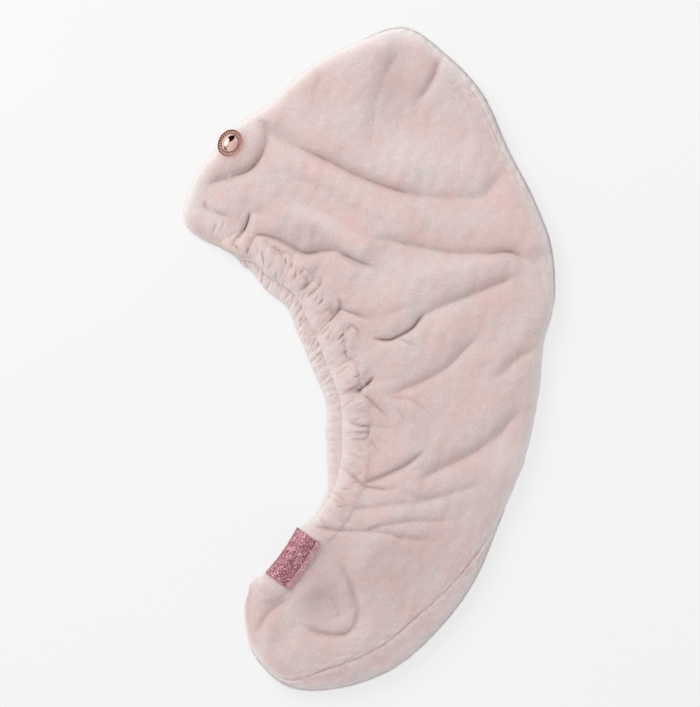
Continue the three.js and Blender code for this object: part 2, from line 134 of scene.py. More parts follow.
# Folds of the cloth. Each follows a path, and the cloth on its left rolls up: rise high
# at reach from the crease. On its right it swells up at spread. The crease itself lies
# drop deep over width. It sets in and fades over a share of its length at each end.
FOLD_COLUMNS = (
    "path", "rise", "reach", "swell", "spread", "drop", "width", "fade_in", "fade_out",
)
FOLDS = (
    # Lobe with the button, and the flap by the mouth
    (((-160, 168), (-150, 174), (-130, 180), (-115, 187), (-105, 200), (-100, 213), (-100, 228)),
     4, 13, 1.5, 14, 4.2, 4.5, 0.2, 0.15),
    (((-136, 178), (-123, 182), (-114, 188), (-106, 198), (-102, 208)), 0, 8, 0, 8, 2.5, 2.2, 0.4, 0.4),
    (((-110, 233), (-103, 232), (-98, 226)), 1, 5, 0, 5, 1.4, 1.6, 0.3, 0.4),
    (((-105, 230), (-95, 223), (-79, 215), (-64, 207)), 1.2, 9, 1, 9, 2.4, 5.5, 0.2, 0.4),
    (((-117, 187), (-77, 179), (-38, 159), (-9, 142), (26, 130)), 0.9, 11, 0.6, 11, 1.2, 5, 0.3, 0.4),
    (((-75, 177), (-46, 169), (-19, 153)), 0.6, 8, 0.4, 8, 0.7, 4, 0.4, 0.4),
    (((-160, 154), (-159, 147), (-145, 142), (-132, 136)), 1.2, 6, 0.6, 6, 1.6, 2, 0.2, 0.4),
    (((-161, 156), (-160, 151), (-159, 145)), 0, 5, 0, 5, 1.6, 2.5, 0.4, 0.4),
    (((-148, 135), (-152, 125), (-156, 117)), 0.6, 4, 0.6, 4, 0.9, 1.6, 0.3, 0.5),
    (((-140, 136), (-144, 128), (-147, 119)), 0.5, 4, 0.5, 4, 0.6, 1.6, 0.3, 0.5),
    (((-137, 107), (-130, 117), (-123, 125), (-119, 134), (-116, 146)),
     2.5, 9, 2.2, 8, 3.6, 1.5, 0.35, 0.2),
    (((-116, 143), (-105, 142), (-89, 140)), 0.6, 8, 0.4, 8, 1.1, 4, 0.2, 0.6),
    # Creases above the upper hem
    (((-115, 106), (-115, 114), (-111, 120), (-104, 121), (-95, 119)), 1.5, 6, 2.2, 6, 2, 1.5, 0.4, 0.3),
    (((-105, 122), (-89, 117), (-77, 111), (-63, 104), (-48, 105)), 4, 13, 3, 10, 3.6, 2.4, 0.2, 0.3),
    (((-74, 108), (-60, 104), (-46, 106), (-32, 106), (-23, 101), (-13, 94), (-3, 89), (13, 85)),
     5.5, 16, 3, 13, 3.8, 3.6, 0.2, 0.3),
    (((-68, 126), (-58, 122), (-46, 117)), 0, 9, 0, 9, 1.6, 9, 0.4, 0.4),
    (((-56, 160), (-40, 150), (-25, 137), (-9, 123), (9, 117)), 0, 9, 0, 9, 1.9, 8, 0.3, 0.4),
    (((-30, 104), (-21, 101), (-11, 96), (-1, 92), (11, 89)), 1.2, 8, 0.8, 8, 2.2, 1.5, 0.3, 0.4),
    (((-1, 89), (21, 81), (34, 68)), 0.6, 8, 0, 8, 0.6, 5, 0.3, 0.5),
    # Long creases of the upper half
    (((-85, 216), (-58, 202), (-38, 193), (-19, 183), (1, 174), (21, 167), (40, 161), (60, 158)),
     4, 18, 2, 14, 2.6, 2.2, 0.25, 0.25),
    (((-105, 226), (-58, 202), (-19, 183), (21, 167), (60, 158), (99, 157), (114, 161),
      (123, 172), (135, 188)),
     3.5, 20, 2.4, 16, 2.8, 6, 0.12, 0.12),
    (((-77, 160), (-38, 141), (-24, 131), (-9, 122), (16, 116)), 1.2, 9, 0.6, 9, 0.5, 4, 0.4, 0.3),
    (((-11, 118), (21, 116), (40, 111), (62, 107), (84, 103), (109, 103), (128, 105),
      (140, 104), (148, 100), (156, 91)),
     5.5, 19, 3, 12, 2.6, 4.4, 0.2, 0.12),
    (((107, 102), (121, 103), (134, 105), (144, 103), (153, 98)), 0.8, 5, 0.8, 5, 1.7, 1.5, 0.3, 0.3),
    (((148, 101), (161, 95), (168, 83), (172, 68)), 2, 12, 1, 8, 1.6, 5, 0.3, 0.3),
    (((40, 244), (48, 253), (56, 263), (60, 270), (64, 278), (67, 287), (71, 296)),
     3.5, 14, 1.5, 9, 3.4, 3.2, 0.35, 0.15),
    (((76, 266), (82, 270), (88, 274)), 0.4, 4, 0, 4, 1, 2, 0.4, 0.4),
    (((81, 258), (87, 263), (94, 268)), 0.4, 4, 0, 4, 1, 2, 0.4, 0.4),
    (((86, 250), (92, 255), (98, 259)), 0.3, 4, 0, 4, 0.8, 2, 0.4, 0.4),
    (((-68, 222), (-57, 244), (-50, 269), (-45, 287)), 1.6, 13, 0.5, 13, 0.8, 8, 0.3, 0.3),
    (((1, 195), (4, 229), (9, 259), (21, 287), (36, 309)), 3.2, 24, 1, 16, 2.2, 10, 0.3, 0.2),
    (((77, 205), (91, 215), (99, 229)), 0.5, 9, 0, 9, 0.8, 7, 0.4, 0.4),
    # Middle folds
    (((-34, 46), (-28, 49), (-22, 47), (-13, 44), (-4, 40), (6, 35)), 2, 8, 1.2, 7, 2, 1.6, 0.3, 0.4),
    (((-17, 44), (9, 42), (32, 49), (60, 57)), 1.4, 10, 0.4, 10, 1.2, 6, 0.3, 0.4),
    (((1, 21), (11, 19), (21, 19), (28, 22), (36, 26), (43, 31), (50, 40), (56, 46)),
     4, 14, 2, 12, 3.6, 1.6, 0.2, 0.2),
    (((46, 32), (54, 43), (60, 47), (75, 53), (95, 61), (119, 71), (136, 78), (151, 88)),
     5.5, 17, 2.5, 16, 2.6, 5, 0.25, 0.2),
    (((28, 21), (41, 15), (52, 11)), 0.6, 5, 0.6, 5, 1, 1.6, 0.2, 0.5),
    (((9, -41), (30, -31), (50, -23), (70, -12), (81, -3), (89, 5), (97, 13), (109, 22)),
     4.5, 15, 2, 14, 2.6, 5, 0.2, 0.2),
    (((117, -22), (131, -13), (139, -5), (147, 2), (156, 7), (168, 12)),
     3, 13, 1.5, 12, 2.4, 4.5, 0.25, 0.2),
    (((180, 48), (174, 36), (172, 26), (164, 17)), 1.5, 8, 1.5, 8, 3, 2.4, 0.1, 0.4),
    (((17, -39), (28, -38), (40, -39), (55, -50), (67, -60)), 1, 7, 0.6, 7, 0.9, 1.8, 0.3, 0.5),
    (((26, -48), (32, -55), (35, -62)), 0.5, 4, 0.5, 4, 0.8, 1.5, 0.3, 0.4),
    (((-11, -33), (-5, -27), (1, -22), (6, -15)), 3, 9, 2, 7, 4.2, 1.5, 0.1, 0.4),
    (((-10, -32), (1, -40), (12, -51), (20, -59)), 1.5, 8, 1, 7, 1.6, 1.5, 0.12, 0.4),
    # Folds of the lower half
    (((46, -121), (60, -112), (74, -105), (89, -98), (104, -90), (119, -80), (130, -70),
      (140, -58), (153, -46)),
     5, 17, 2, 15, 3, 5.5, 0.15, 0.15),
    (((-9, -122), (9, -117), (22, -111), (32, -106), (40, -101), (49, -94), (56, -88)),
     3, 11, 1.8, 9, 3.4, 2.4, 0.12, 0.25),
    (((-31, -103), (-24, -109), (-12, -116)), 1, 5, 1, 5, 1.6, 1.4, 0.3, 0.2),
    (((-19, -129), (-15, -122), (-11, -115)), 0.8, 5, 0.8, 5, 1.6, 1.4, 0.4, 0.2),
    (((-13, -115), (-7, -123), (3, -126), (19, -127), (33, -124)), 1.5, 6, 1.4, 7, 2, 1.7, 0.15, 0.4),
    (((32, -126), (42, -134), (55, -137), (74, -133), (87, -129), (103, -125), (121, -122)),
     2, 9, 1, 10, 1.6, 4, 0.2, 0.3),
    (((-24, -91), (-11, -96), (3, -102)), 0.8, 5, 0.6, 5, 1, 2, 0.3, 0.4),
    (((-37, -129), (-27, -137), (-19, -148)), 1.2, 5, 1, 5, 1.4, 1.4, 0.3, 0.3),
    (((-45, -135), (-33, -138), (-22, -150)), 1, 5, 1, 5, 1.4, 1.4, 0.3, 0.3),
    (((-20, -148), (3, -145), (30, -141), (55, -139), (78, -129)), 1.8, 9, 0.8, 9, 1.3, 3, 0.15, 0.3),
    (((-55, -162), (-46, -166), (-24, -168), (-4, -168), (9, -164), (23, -161), (45, -158),
      (74, -157), (105, -150)),
     2, 10, 1.6, 9, 1.8, 2.2, 0.1, 0.3),
    (((-9, -168), (9, -169), (23, -171), (30, -174), (50, -176), (78, -179)),
     1.8, 8, 1, 8, 1.4, 2, 0.2, 0.3),
    (((-49, -154), (-44, -161), (-40, -169)), 0.8, 4, 0.8, 4, 1.3, 1.4, 0.3, 0.2),
    # Tail
    (((-28, -197), (-24, -209), (-18, -222), (-13, -236), (-11, -250), (-15, -263),
      (-24, -270), (-40, -270), (-56, -266), (-68, -256)),
     3.5, 14, 2, 9, 2.8, 3, 0.12, 0.15),
    (((-115, -275), (-107, -262), (-97, -248), (-85, -239), (-72, -233)),
     2.4, 11, 1.4, 10, 3.2, 7, 0.2, 0.3),
    (((-99, -271), (-89, -279), (-77, -287)), 0, 9, 0, 9, 1.4, 9, 0.4, 0.4),
    (((-113, -219), (-105, -226), (-98, -233)), 1, 6, 0, 6, 0.8, 2, 0.3, 0.4),
    (((-58, -226), (-46, -236), (-34, -248), (-31, -258)), 0, 9, 0, 9, 3.6, 11, 0.3, 0.2),
    (((-46, -228), (-35, -238), (-30, -248), (-32, -258)), 0, 5, 1.6, 5, 1, 2, 0.3, 0.3),
    # Gathers along the upper hem, one by one
    (((-127, 100), (-122, 99), (-116, 98)), 0.6, 4, 0.6, 4, 1.8, 1.6, 0.3, 0.2),
    (((-111, 95), (-106, 89), (-98, 85)), 0.6, 4, 0.6, 4, 1.4, 1.3, 0.3, 0.3),
    (((-98, 81), (-93, 80), (-87, 76)), 0.6, 4, 0.6, 4, 1.2, 1.3, 0.3, 0.3),
    (((-96, 111), (-90, 106), (-83, 101)), 1, 5, 1, 5, 2.6, 1.9, 0.3, 0.15),
    (((-100, 110), (-103, 105), (-107, 99)), 0.6, 4, 0.4, 4, 0.8, 1.4, 0.3, 0.3),
    (((-73, 92), (-65, 84), (-57, 74)), 1.2, 6, 1.2, 6, 2, 1.4, 0.3, 0.2),
    (((-56, 75), (-63, 71), (-72, 64)), 0.8, 5, 0.8, 5, 1.5, 1.4, 0.2, 0.3),
    (((-69, 87), (-73, 81), (-77, 74)), 0.6, 4, 0.6, 4, 1.3, 1.3, 0.3, 0.3),
    (((-83, 90), (-84, 85), (-86, 80)), 0.5, 4, 0.5, 4, 1.2, 1.2, 0.3, 0.3),
    (((-46, 80), (-50, 69), (-62, 61)), 1, 6, 1, 6, 1.8, 1.5, 0.3, 0.3),
    (((-55, 89), (-50, 83), (-47, 74)), 0, 6, 0, 6, 1.6, 5, 0.3, 0.3),
    (((-32, 62), (-28, 54), (-30, 47), (-35, 41)), 1, 6, 1.2, 6, 2.6, 1.9, 0.3, 0.2),
    (((-38, 49), (-35, 45), (-33, 40)), 0.6, 4, 0.6, 4, 2.2, 1.8, 0.3, 0.2),
    (((-42, 46), (-48, 45), (-54, 44)), 0.6, 4, 0.6, 4, 1, 1.4, 0.3, 0.4),
    (((-38, 33), (-43, 27), (-49, 23)), 0.6, 5, 0.6, 5, 1.3, 1.4, 0.3, 0.3),
    (((-32, 20), (-38, 16)), 0.5, 4, 0.5, 4, 1.1, 1.4, 0.3, 0.3),
    (((-29, 26), (-24, 19), (-23, 10), (-23, 4), (-19, 0), (-12, -3), (-2, -5)),
     1.2, 6, 1, 5, 1.8, 1.4, 0.2, 0.3),
    (((-24, 23), (-21, 28), (-18, 32), (-13, 30), (-10, 25), (-9, 12)), 1, 5, 1, 5, 1.5, 1.4, 0.3, 0.3),
    (((-28, -15), (-24, -9), (-19, -8)), 0.6, 4, 0.6, 4, 1.1, 1.3, 0.3, 0.3),
    (((-14, -5), (-11, -13), (-9, -24), (-10, -33)), 1, 5, 1, 5, 1.6, 1.5, 0.4, 0.2),
    (((-20, -22), (-15, -26), (-10, -33)), 0.8, 4, 0.8, 4, 1.6, 1.4, 0.4, 0.15),
    (((-5, -13), (1, -17), (7, -15)), 0, 6, 0, 6, 1.4, 6, 0.3, 0.3),
    (((-20, -62), (-9, -65), (2, -67)), 1, 4, 1, 4, 2.4, 1.4, 0.3, 0.2),
    (((-16, -71), (-7, -72), (1, -72)), 0.8, 4, 0.8, 4, 2, 1.3, 0.3, 0.2),
    (((-18, -78), (-10, -79), (-1, -79)), 0.8, 4, 0.8, 4, 1.6, 1.3, 0.3, 0.2),
    (((0, -62), (0, -71), (-3, -81)), 0.8, 5, 0.8, 5, 2.2, 1.7, 0.3, 0.3),
    (((0, -79), (6, -86), (12, -92)), 0.6, 5, 0.6, 5, 1, 1.5, 0.2, 0.4),
    (((1, -66), (16, -67), (31, -70)), 0.5, 5, 0.5, 5, 0.6, 2, 0.2, 0.5),
    (((-66, 53), (-62, 49), (-61, 44)), 0.5, 3, 0.5, 3, 1.6, 1.4, 0.3, 0.3),
    (((-56, 29), (-52, 25), (-49, 21)), 0.5, 3, 0.5, 3, 1.3, 1.3, 0.3, 0.3),
)

# Soft ellipses: their middle, their half sizes, the turn from +X in degrees, and the height
PATCH_COLUMNS = ("x", "y", "half_length", "half_width", "turn", "height")

# Broad hollows of the cloth, below 0
DENTS = (
    (23, 275, 37, 12, 80, -1.5),
    (-56, 124, 22, 9, 10, -1.5),
    (-85, 222, 22, 7, -25, -1.2),
    (-46, -243, 18, 15, 60, -4.5),
    (-48, -209, 25, 16, 60, -1.5),
    (-84, -275, 18, 14, 60, -2),
    (25, -68, 33, 16, 0, -1.5),
    (3, -13, 8, 14, -60, -1.8),
    (-152, 166, 14, 9, 0, -1.5),
)

# Patches of painted shade and tone: above 0 painted darker, mostly as shade in hollows and on slopes
# turned from the light; below 0 painted pinker, in places as warm light on shaded cloth
SHADES = (
    (-46, -239, 24, 20, 60, 0.42),
    (23, 273, 44, 16, 80, 0.36),
    (-50, 254, 29, 12, 75, 0.12),
    (-56, 122, 18, 10, 10, 0.22),
    (-92, 221, 16, 8, -25, 0.2),
    (30, -65, 44, 24, 0, 0.12),
    (21, -207, 59, 34, 0, 0.18),
    (-43, -202, 24, 24, 0, 0.15),
    (143, 126, 24, 59, 0, -0.25),
    (-19, 175, 69, 18, -20, -0.25),
    (-24, 126, 20, 14, -30, -0.3),
    (99, 43, 59, 14, 20, -0.2),
    (99, -21, 59, 20, 25, -0.15),
    (70, 215, 29, 16, 0, -0.12),
    (136, -97, 25, 14, 35, -0.15),
    (-82, 169, 33, 14, -20, 0.1),
    (-22, 136, 30, 7, -38, -0.25),
)

# Painted light: patches painted paler where the cloth is to look more brightly lit
PAINTED_LIGHT_PATCHES = (
    (45, 197, 59, 22, 0, 0.22),
    (60, 89, 78, 12, 5, 0.16),
    (16, 311, 39, 10, 10, 0.2),
    (-166, 141, 18, 22, 0, 0.12),
    (-144, 124, 22, 10, -35, 0.2),
    (-102, 95, 18, 12, -35, 0.15),
    (55, 50, 20, 10, 10, 0.15),
    (168, 87, 14, 59, 0, 0.12),
    (99, 9, 69, 10, 20, 0.1),
    (137, -98, 24, 13, 35, 0.35),
    (-107, -290, 12, 22, 0, 0.22),
    (-40, 131, 45, 7, -28, 0.18),
    (3, 151, 40, 7, -31, 0.12),
)

# Grids of the meshes
STATIONS = 520                     # along the towel
LEVEL_STEPS = 130                  # across the front panel's level part
ROLL_STEPS = 46                    # round its rolled edge
FLOOR_STEPS = 40                   # across the part that lies on the table
RIM_STEPS = 48                     # round the outer edge of the back panel
HEM_STATIONS = 900
HEM_SIDES = 36
FOLD_STEPS = 20                    # straight pieces along a fold's path

# Folds
BLEND_SHARE = 0.15                 # how softly a path's pieces join, as a share of the distance
BLEND_LEAST = 0.05
FOLD_NEAR = 4                      # a fold is worked out to so many times its own reach
SHARP_WIDTH = 1.6                  # a crease this narrow and this deep gets its full painted shade
SHARP_DROP = 4
CREASE_SHADE_SHARE = 0.8                 # of the crease's width, where its painted shade lies
WIDE_VALLEY = 3                    # a crease lies in a hollow so many times as wide
WIDE_SHARE = 0.4                   # which has this share of its depth

# Unevenness of the cloth: its height, how long its waves are, and its seed
WAVE_COUNT = 14
WAVE_LENGTHS = (0.6, 1.6)          # as shares of the length given
FRONT_SWELLS = (0.3, 18, 3)
FRONT_RIPPLES = (0.05, 5, 4)
BACK_SWELLS = (0.3, 14, 6)
FRONT_HEM_RIPPLES = (0.15, 5, 9)
BACK_HEM_RIPPLES = (0.15, 5, 10)
LABEL_RIPPLES = (0.2, 6, 51)
PUCKERS = (0.5, 6, 31)

# Rolled edge
ROLL_POWER = 3.6                   # it is fuller than an ellipse
RIM_FADE = 0.5                     # radians over which its relief sets in
# painted light: the outer edge is painted paler, further in on the side towards the light
RIM_PALE = 0.85
RIM_REACH_LIT = 21                 # the painted light along the edge, on the side of the light
RIM_REACH_SHADED = 15              # and on the side away from it
LIT_TURN = 0.45                    # how soon the edge turns from one to the other
FULL_RELIEF = 13                   # cloth this far over the flat stack has all its relief
PANEL_TUCK = 1.5                   # how far the panels run in under the hems
FLOOR_LIFT = 0.3                   # the lowest cloth, above the table
SEAM_WIDTH = 1.3
SEAM_DEPTH = 1.1
PUCKER_REACH = 8

# Hems
HEM_DROP = 2.6                     # how far the front hem sinks towards the back one
HEM_DROOP = 3.2                    # and how much more at its outer edge
HEM_LAP = 1                        # how far it laps over the panel
PANEL_JOIN = 2.6                   # where the panel joins the hem, above the hem's middle
HEM_SWELL = 2.2                    # gathered cloth that stands out of a hem's casing
HEM_POWER = 2.5                    # its section is fuller than an ellipse
HEM_END_SHARE = 0.004              # where its ends round off
HEM_END_LEAST = 0.02
HEM_FLOOR = 0.1
HEM_FADE = 0.4                     # the power by which its relief fades down its sides
HEM_PALE = 0.11                    # painted light: how much paler the front hem is painted
HEM_EDGE_PALE = 0.4                # and how much more at its outer edge
# painted light on the back hem, and more at its outer edge
BACK_HEM_PALE = 0.2
BACK_HEM_EDGE_PALE = 0.5
HEM_WARMTH = 0.22                  # light goes to and fro between the gathers and warms

# Shares of the way round from which something holds, and over how much it sets in
LOOSE_END = (0.72, 0.08)           # no hem stands out past its casing from here
FRONT_LOOSE = (0.36, 0.12)         # the front hem stands out too from here
GATHER_START = (0, 0.12)
GATHER_WEAK = (0.45, 0.2)          # the gathers are weaker towards the label
GATHER_END = (0.78, 0.08)
WEAK_SHARE = 0.4

# Gathers
GATHER_PITCH = 11                  # from cinch to cinch along a hem
PUFF_PITCH = 27                    # the wider puffs that the gathers end in
BULGE_PITCHES = (0.55, 1.45)       # how uneven the cinches are, as shares of the pitch
BULGE_SIZES = (0.45, 1)
BULGE_POWER = 0.6                  # bulges are fuller than a half wave
GATHER_SHARE = 0.28                # their height on the front, where the cloth is looser
GATHER_REACH = 9                   # how far the gathers run on to the panel
PUFF_REACH = 24
PUFF_SHARE = 1.9                   # the puffs are so many times as high as the gathers
FRONT_EDGE_WAVE = 0.9              # how much of the gathers' height the outer edge waves
BACK_EDGE_WAVE = 0.5
BACK_GATHER_PITCH = 0.85 * GATHER_PITCH
BACK_GATHER_SHARE = 0.8
GATHER_SEED = 5
PUFF_SEED = 8
BACK_SEED = 21

# Narrow pleats that run over the hems
PLEAT_PITCH = 6.5
PLEAT_PITCHES = (0.5, 1.5)         # how uneven they are, as shares of the pitch
PLEAT_DEPTH = 0.75
PLEAT_DEPTHS = (0.35, 1.1)         # as shares of that
PLEAT_WIDTH = 0.65
PLEAT_HALVES = (2.5, 7.5)          # half their lengths
PLEAT_LEANS = (-0.5, 0.5)
PLEAT_FADE = 1.3
PLEAT_NEAR = 14                    # a pleat is worked out this far to both sides
PLEAT_SWELL = 0.3                  # the cloth swells beside a pleat, so much of its depth
PLEAT_SWELL_PLACE = 3.2
PLEAT_SWELL_WIDTH = 2
PLEAT_DARK = 1.6                   # how much more painted shade a pleat gets than a crease
FRONT_PLEAT_PLACES = (5, 25)       # where their middles lie across the hem
BACK_PLEAT_PLACES = (-14, 0)
BACK_PLEAT_PITCH = 0.8 * PLEAT_PITCH
BACK_PLEAT_DEPTH = 0.7 * PLEAT_DEPTH
BACK_PLEAT_DARK = 0.5 * PLEAT_DARK

# Label, where the CAD part has it: folded over the edge of the front hem
LABEL_LENGTH = 54
LABEL_WIDTH = 26.5
LABEL_THICKNESS = 0.8
LABEL_UNDER = 6
LABEL_X = -84.5                    # middle of its outer long edge
LABEL_Y = -188
LABEL_TURN = math.radians(-35)     # the way that it points over the towel
LABEL_BOW = 1.8                    # it bends with the hem
LABEL_FOLD = 3                     # the turn round the hem: its middle, inside the edge
LABEL_REACH_OUT = 4.2              # and how far it stands out from there
LABEL_LIFT = 0.3                   # over the cloth
LABEL_STATIONS = 90
LABEL_COLUMNS = 44
LABEL_TURN_STEPS = 24
LABEL_UNDER_STEPS = 5
LABEL_SEAM = 5.6                   # the sewn line, from the inner long edge
LABEL_SINK = 0.5                   # how far the sewing pulls it down there, and all past it
LABEL_DENT = 0.9
LABEL_MARK = 0.8                   # the painted shade line in the dent there, and the fade to the paler strip
STITCH_LENGTH = 2.4
STITCH_PITCH = 3.2
STITCH_RADIUS = 0.3
STITCH_LIFT = 0.1
STITCH_RINGS = 7
STITCH_SIDES = 8
SCAN_HEIGHT = 200

# Button, a 44-line dome button, as large as the CAD part
BUTTON_RADIUS = 14
BUTTON_HEIGHT = 5
RING_OUT = 13.1
RING_IN = 9.8
CUP_FLOOR = 2.2
POST_LENGTH = 2.6
POST_RADIUS = 1.6
DOME_RISE = 3
DOME_STEPS = 28
REEDS = 28                         # drawn a third coarser than the real ones, so that they show
REED_DEPTH = 0.8
TURNED_SIDES = 336
AXIS = 0.01                        # a turned face ends this near its axis

# Nap: single fibres that stand out of the plush, which soften its outline
FIBRE_LENGTH = 2.4
FIBRE_LENGTHS = (0.5, 1.2)         # as shares of that
FIBRE_RADIUS = 0.11
FIBRE_ROOT = 0.3                   # how deep in the cloth it starts
FIBRE_FLOOR = 0.05
FIBRE_LEAN = (0.25, -0.35, 0.0)    # the pile was last brushed down and to the right
FIBRE_SCATTER = 0.45
FIBRE_PALE = (1, 0.35, 0.35, 0.35)  # painted light on each fibre: at the tip and at the three corners of the root
MORE_FIBRES = 2.5                  # where a face stands upright, beyond the 1 elsewhere
EDGE_FIBRES = 5                    # the same along the outer edge
FEW_FIBRES = 0.1                   # and elsewhere on that piece
NAP_SEED = 77

# Patterns of the pile, in millimetres, with how high each stands as a bump. Tufts are about
# twice as coarse as real ones and fibres many times, so that they show.
PILE_COLUMNS = ("name", "size", "detail", "bump")
PILE = (
    ("patch", 32, 2.5, 0),
    ("brushed", 6, 4, 0.03),
    ("tuft", 1.6, 3, 0.15),
    ("fibre", 0.7, 1, 0.3),
)
GLITTER_FLAKE = 0.85               # drawn about twice as coarse as real glitter, so that it shows
GLITTER_WEAR = 9
THREAD_TWIST = 0.5
METAL_RUB = 3
METAL_GRAIN = 0.5
TABLE_CLOUD = 300

# Camera and light
CAMERA_HEIGHT = 4.0                # metres, above the table
CAMERA_REACH = 100
SENSOR = 36.0
VIEW_WIDTH = 700                   # the photograph, in pixels
VIEW_HEIGHT = 707
PIXEL = 0.98                       # millimetres of the towel in a pixel
VIEW_MIDDLE = (-18.6, 5.4)         # what the middle of the photograph shows
FOCUS_LEVEL = 12                   # height where a pixel is that size
KEY_PLACE = (-1.25, 1.5, 1.8)
KEY_SIZE = 1.5
KEY_POWER = 35.0
SKY_STRENGTH = 0.71
# What the metal shows of the studio: the way there, the cosine at its edge and its linear colour
ROOM_COLUMNS = ("place", "edge", "colour")
ROOM = (
    ((-0.61, 0.78, 0.12), 0.905, (0.01, 0.008, 0.008, 1)),
    ((-0.99, -0.03, 0.06), 0.978, (0.03, 0.02, 0.02, 1)),
    ((-0.89, 0.44, 0.1), 0.965, (2.6, 2.6, 2.6, 1)),
)
PATCH_BLUR = 0.015
ROOM_WALL = (1.3, 1.25, 1.23, 1)   # brighter than white, as the studio is lit
ROOM_WALL_RISE = (0.0, 0.45)       # how high over the level it sets in
ROOM_CEILING = (1.0, 0.96, 0.95, 1)
ROOM_CEILING_RISE = (0.6, 1.0)
TABLE_GLOW = 0.655                 # the table is lit from below, which thins the shadows
FLOOR_SIZE = 30.0
FLOOR_DROP = 0.4                   # millimetres, the table's face under the lowest cloth


def mix(a, b, t):
    return a + (b - a) * t


def smooth(t):
    s = np.clip(t, 0, 1)
    return s * s * (3 - 2 * s)


def since(u, start, over):
    """0 up to a share of the way round, and rising to 1 over the next."""
    return smooth((u - start) / over)


def named(columns, row):
    """A row of a table, with its columns by name."""
    return SimpleNamespace(**dict(zip(columns, row)))


def read_table(rows, t):
    """A smooth curve through the rows of a table, read at shares t of the way."""
    place = np.clip(t, 0, 1) * (len(rows) - 1)
    i = np.minimum(place.astype(int), len(rows) - 2)
    f = (place - i)[:, None]
    p0 = rows[np.maximum(i - 1, 0)]
    p1 = rows[i]
    p2 = rows[i + 1]
    p3 = rows[np.minimum(i + 2, len(rows) - 1)]
    bend = 2 * p0 - 5 * p1 + 4 * p2 - p3 + (3 * p1 - p0 - 3 * p2 + p3) * f
    return p1 + 0.5 * f * (p2 - p0 + bend * f)


def sections_at(u):
    """All sizes of the sections at shares u of the way round, as columns."""
    s = named(SECTION_COLUMNS, read_table(SECTIONS, u).T[:, :, None])
    s.u = u[:, None]
    s.length = np.hypot(s.rim_x - s.hem_x, s.rim_y - s.hem_y)
    s.dir_x = (s.rim_x - s.hem_x) / s.length
    s.dir_y = (s.rim_y - s.hem_y) / s.length
    s.open = smooth(np.minimum(s.u, 1 - s.u) / END_SHARE)
    loose = HEM_STAND_OUT * s.open * (1 - since(s.u, *LOOSE_END))
    stand_out = loose * since(s.u, *FRONT_LOOSE)
    s.hem_x = s.hem_x - stand_out * s.dir_x
    s.hem_y = s.hem_y - stand_out * s.dir_y
    s.length = s.length + stand_out
    s.peek = s.peek + loose - stand_out
    s.shut = np.sqrt(1 - (1 - np.clip(np.minimum(s.u, 1 - s.u) / SHUT_SHARE, 0, 1)) ** 2)
    s.casing = np.minimum(CASING_WIDTH, CASING_SHARE * s.length)
    cloth = s.length - s.casing
    s.hem_half = mix(CLOTH, CASING_THICKNESS, s.open) / 2
    s.front_centre = mix(CLOTH + GAP, CASING_THICKNESS + MOUTH_GAP, s.open) + s.hem_half
    s.crown = mix(FLAT_STACK, s.crown, s.open)
    s.rim_height = mix(FLAT_STACK / 2, RIM_HEIGHT, s.open)
    s.roll = np.minimum(ROLL_WIDTH, ROLL_SHARE * cloth)
    s.under = np.minimum(UNDER_WIDTH, UNDER_SHARE * cloth)
    s.level = s.length - s.roll
    s.peek = np.maximum(s.peek, 0)
    s.inset = np.maximum(s.inset, 0)
    steps = np.hypot(np.diff(s.hem_x, axis=0), np.diff(s.hem_y, axis=0))
    s.along = np.vstack([[[0]], np.cumsum(steps, axis=0)])
    return s


def place(s, d):
    """Where a distance from the mouth edge lies on each section."""
    return s.hem_x + s.dir_x * d, s.hem_y + s.dir_y * d


def waves(x, y, height, length, seed):
    """Smooth unevenness about so high, with waves of about the given length."""
    rng = np.random.default_rng(seed)
    total = np.zeros(np.broadcast(x, y).shape)
    for _ in range(WAVE_COUNT):
        angle = rng.uniform(0, 2 * math.pi)
        turn = 2 * math.pi / (length * rng.uniform(*WAVE_LENGTHS))
        phase = rng.uniform(0, 2 * math.pi)
        total += np.sin(turn * (x * math.cos(angle) + y * math.sin(angle)) + phase)
    return height * (total / math.sqrt(WAVE_COUNT))


def bulges(along, pitch, seed):
    """Rounded bulges between the cinches of a gathered edge: 0 at a cinch, up to 1 between."""
    rng = np.random.default_rng(seed)
    count = int(along.max() / pitch)
    edges = np.concatenate([[0], np.cumsum(rng.uniform(*BULGE_PITCHES, count))])
    edges *= along.max() / edges[-1]
    sizes = rng.uniform(*BULGE_SIZES, count)
    k = np.clip(np.searchsorted(edges, along, side="right") - 1, 0, count - 1)
    t = np.clip((along - edges[k]) / (edges[k + 1] - edges[k]), 0, 1)
    return sizes[k] * np.sin(math.pi * t) ** BULGE_POWER


def fold_line(path):
    """A smooth line through the few points of a fold's path."""
    shares = np.linspace(0, 1, FOLD_STEPS + 1)
    return read_table(np.array(path, dtype=float), shares)


def along_line(line, x, y):
    """Distance from a line, how far it lies to the left (0 to 1) and the share of the way.

    Far from the line its pieces are averaged, so that a bend leaves no ridge inside it.
    """
    start, end = line[:-1], line[1:]
    step = end - start
    px = x[:, None] - start[None, :, 0]
    py = y[:, None] - start[None, :, 1]
    t = np.clip((px * step[:, 0] + py * step[:, 1]) / (step ** 2).sum(1), 0, 1)
    distance = np.hypot(px - t * step[:, 0], py - t * step[:, 1])
    least = distance.min(1, keepdims=True)
    weight = np.exp((least - distance) / (BLEND_SHARE * least + BLEND_LEAST))
    weight /= weight.sum(1, keepdims=True)
    left = step[:, 0] * py - step[:, 1] * px > 0
    share = (np.arange(len(step)) + t) / len(step)
    return least[:, 0], (weight * left).sum(1), (weight * share).sum(1)


def rolled(t):
    """A roll of cloth beside a crease: steep at the crease, 1 high at t = 1, then dying away."""
    return np.sqrt(t) * np.exp((1 - t * t) / 4)


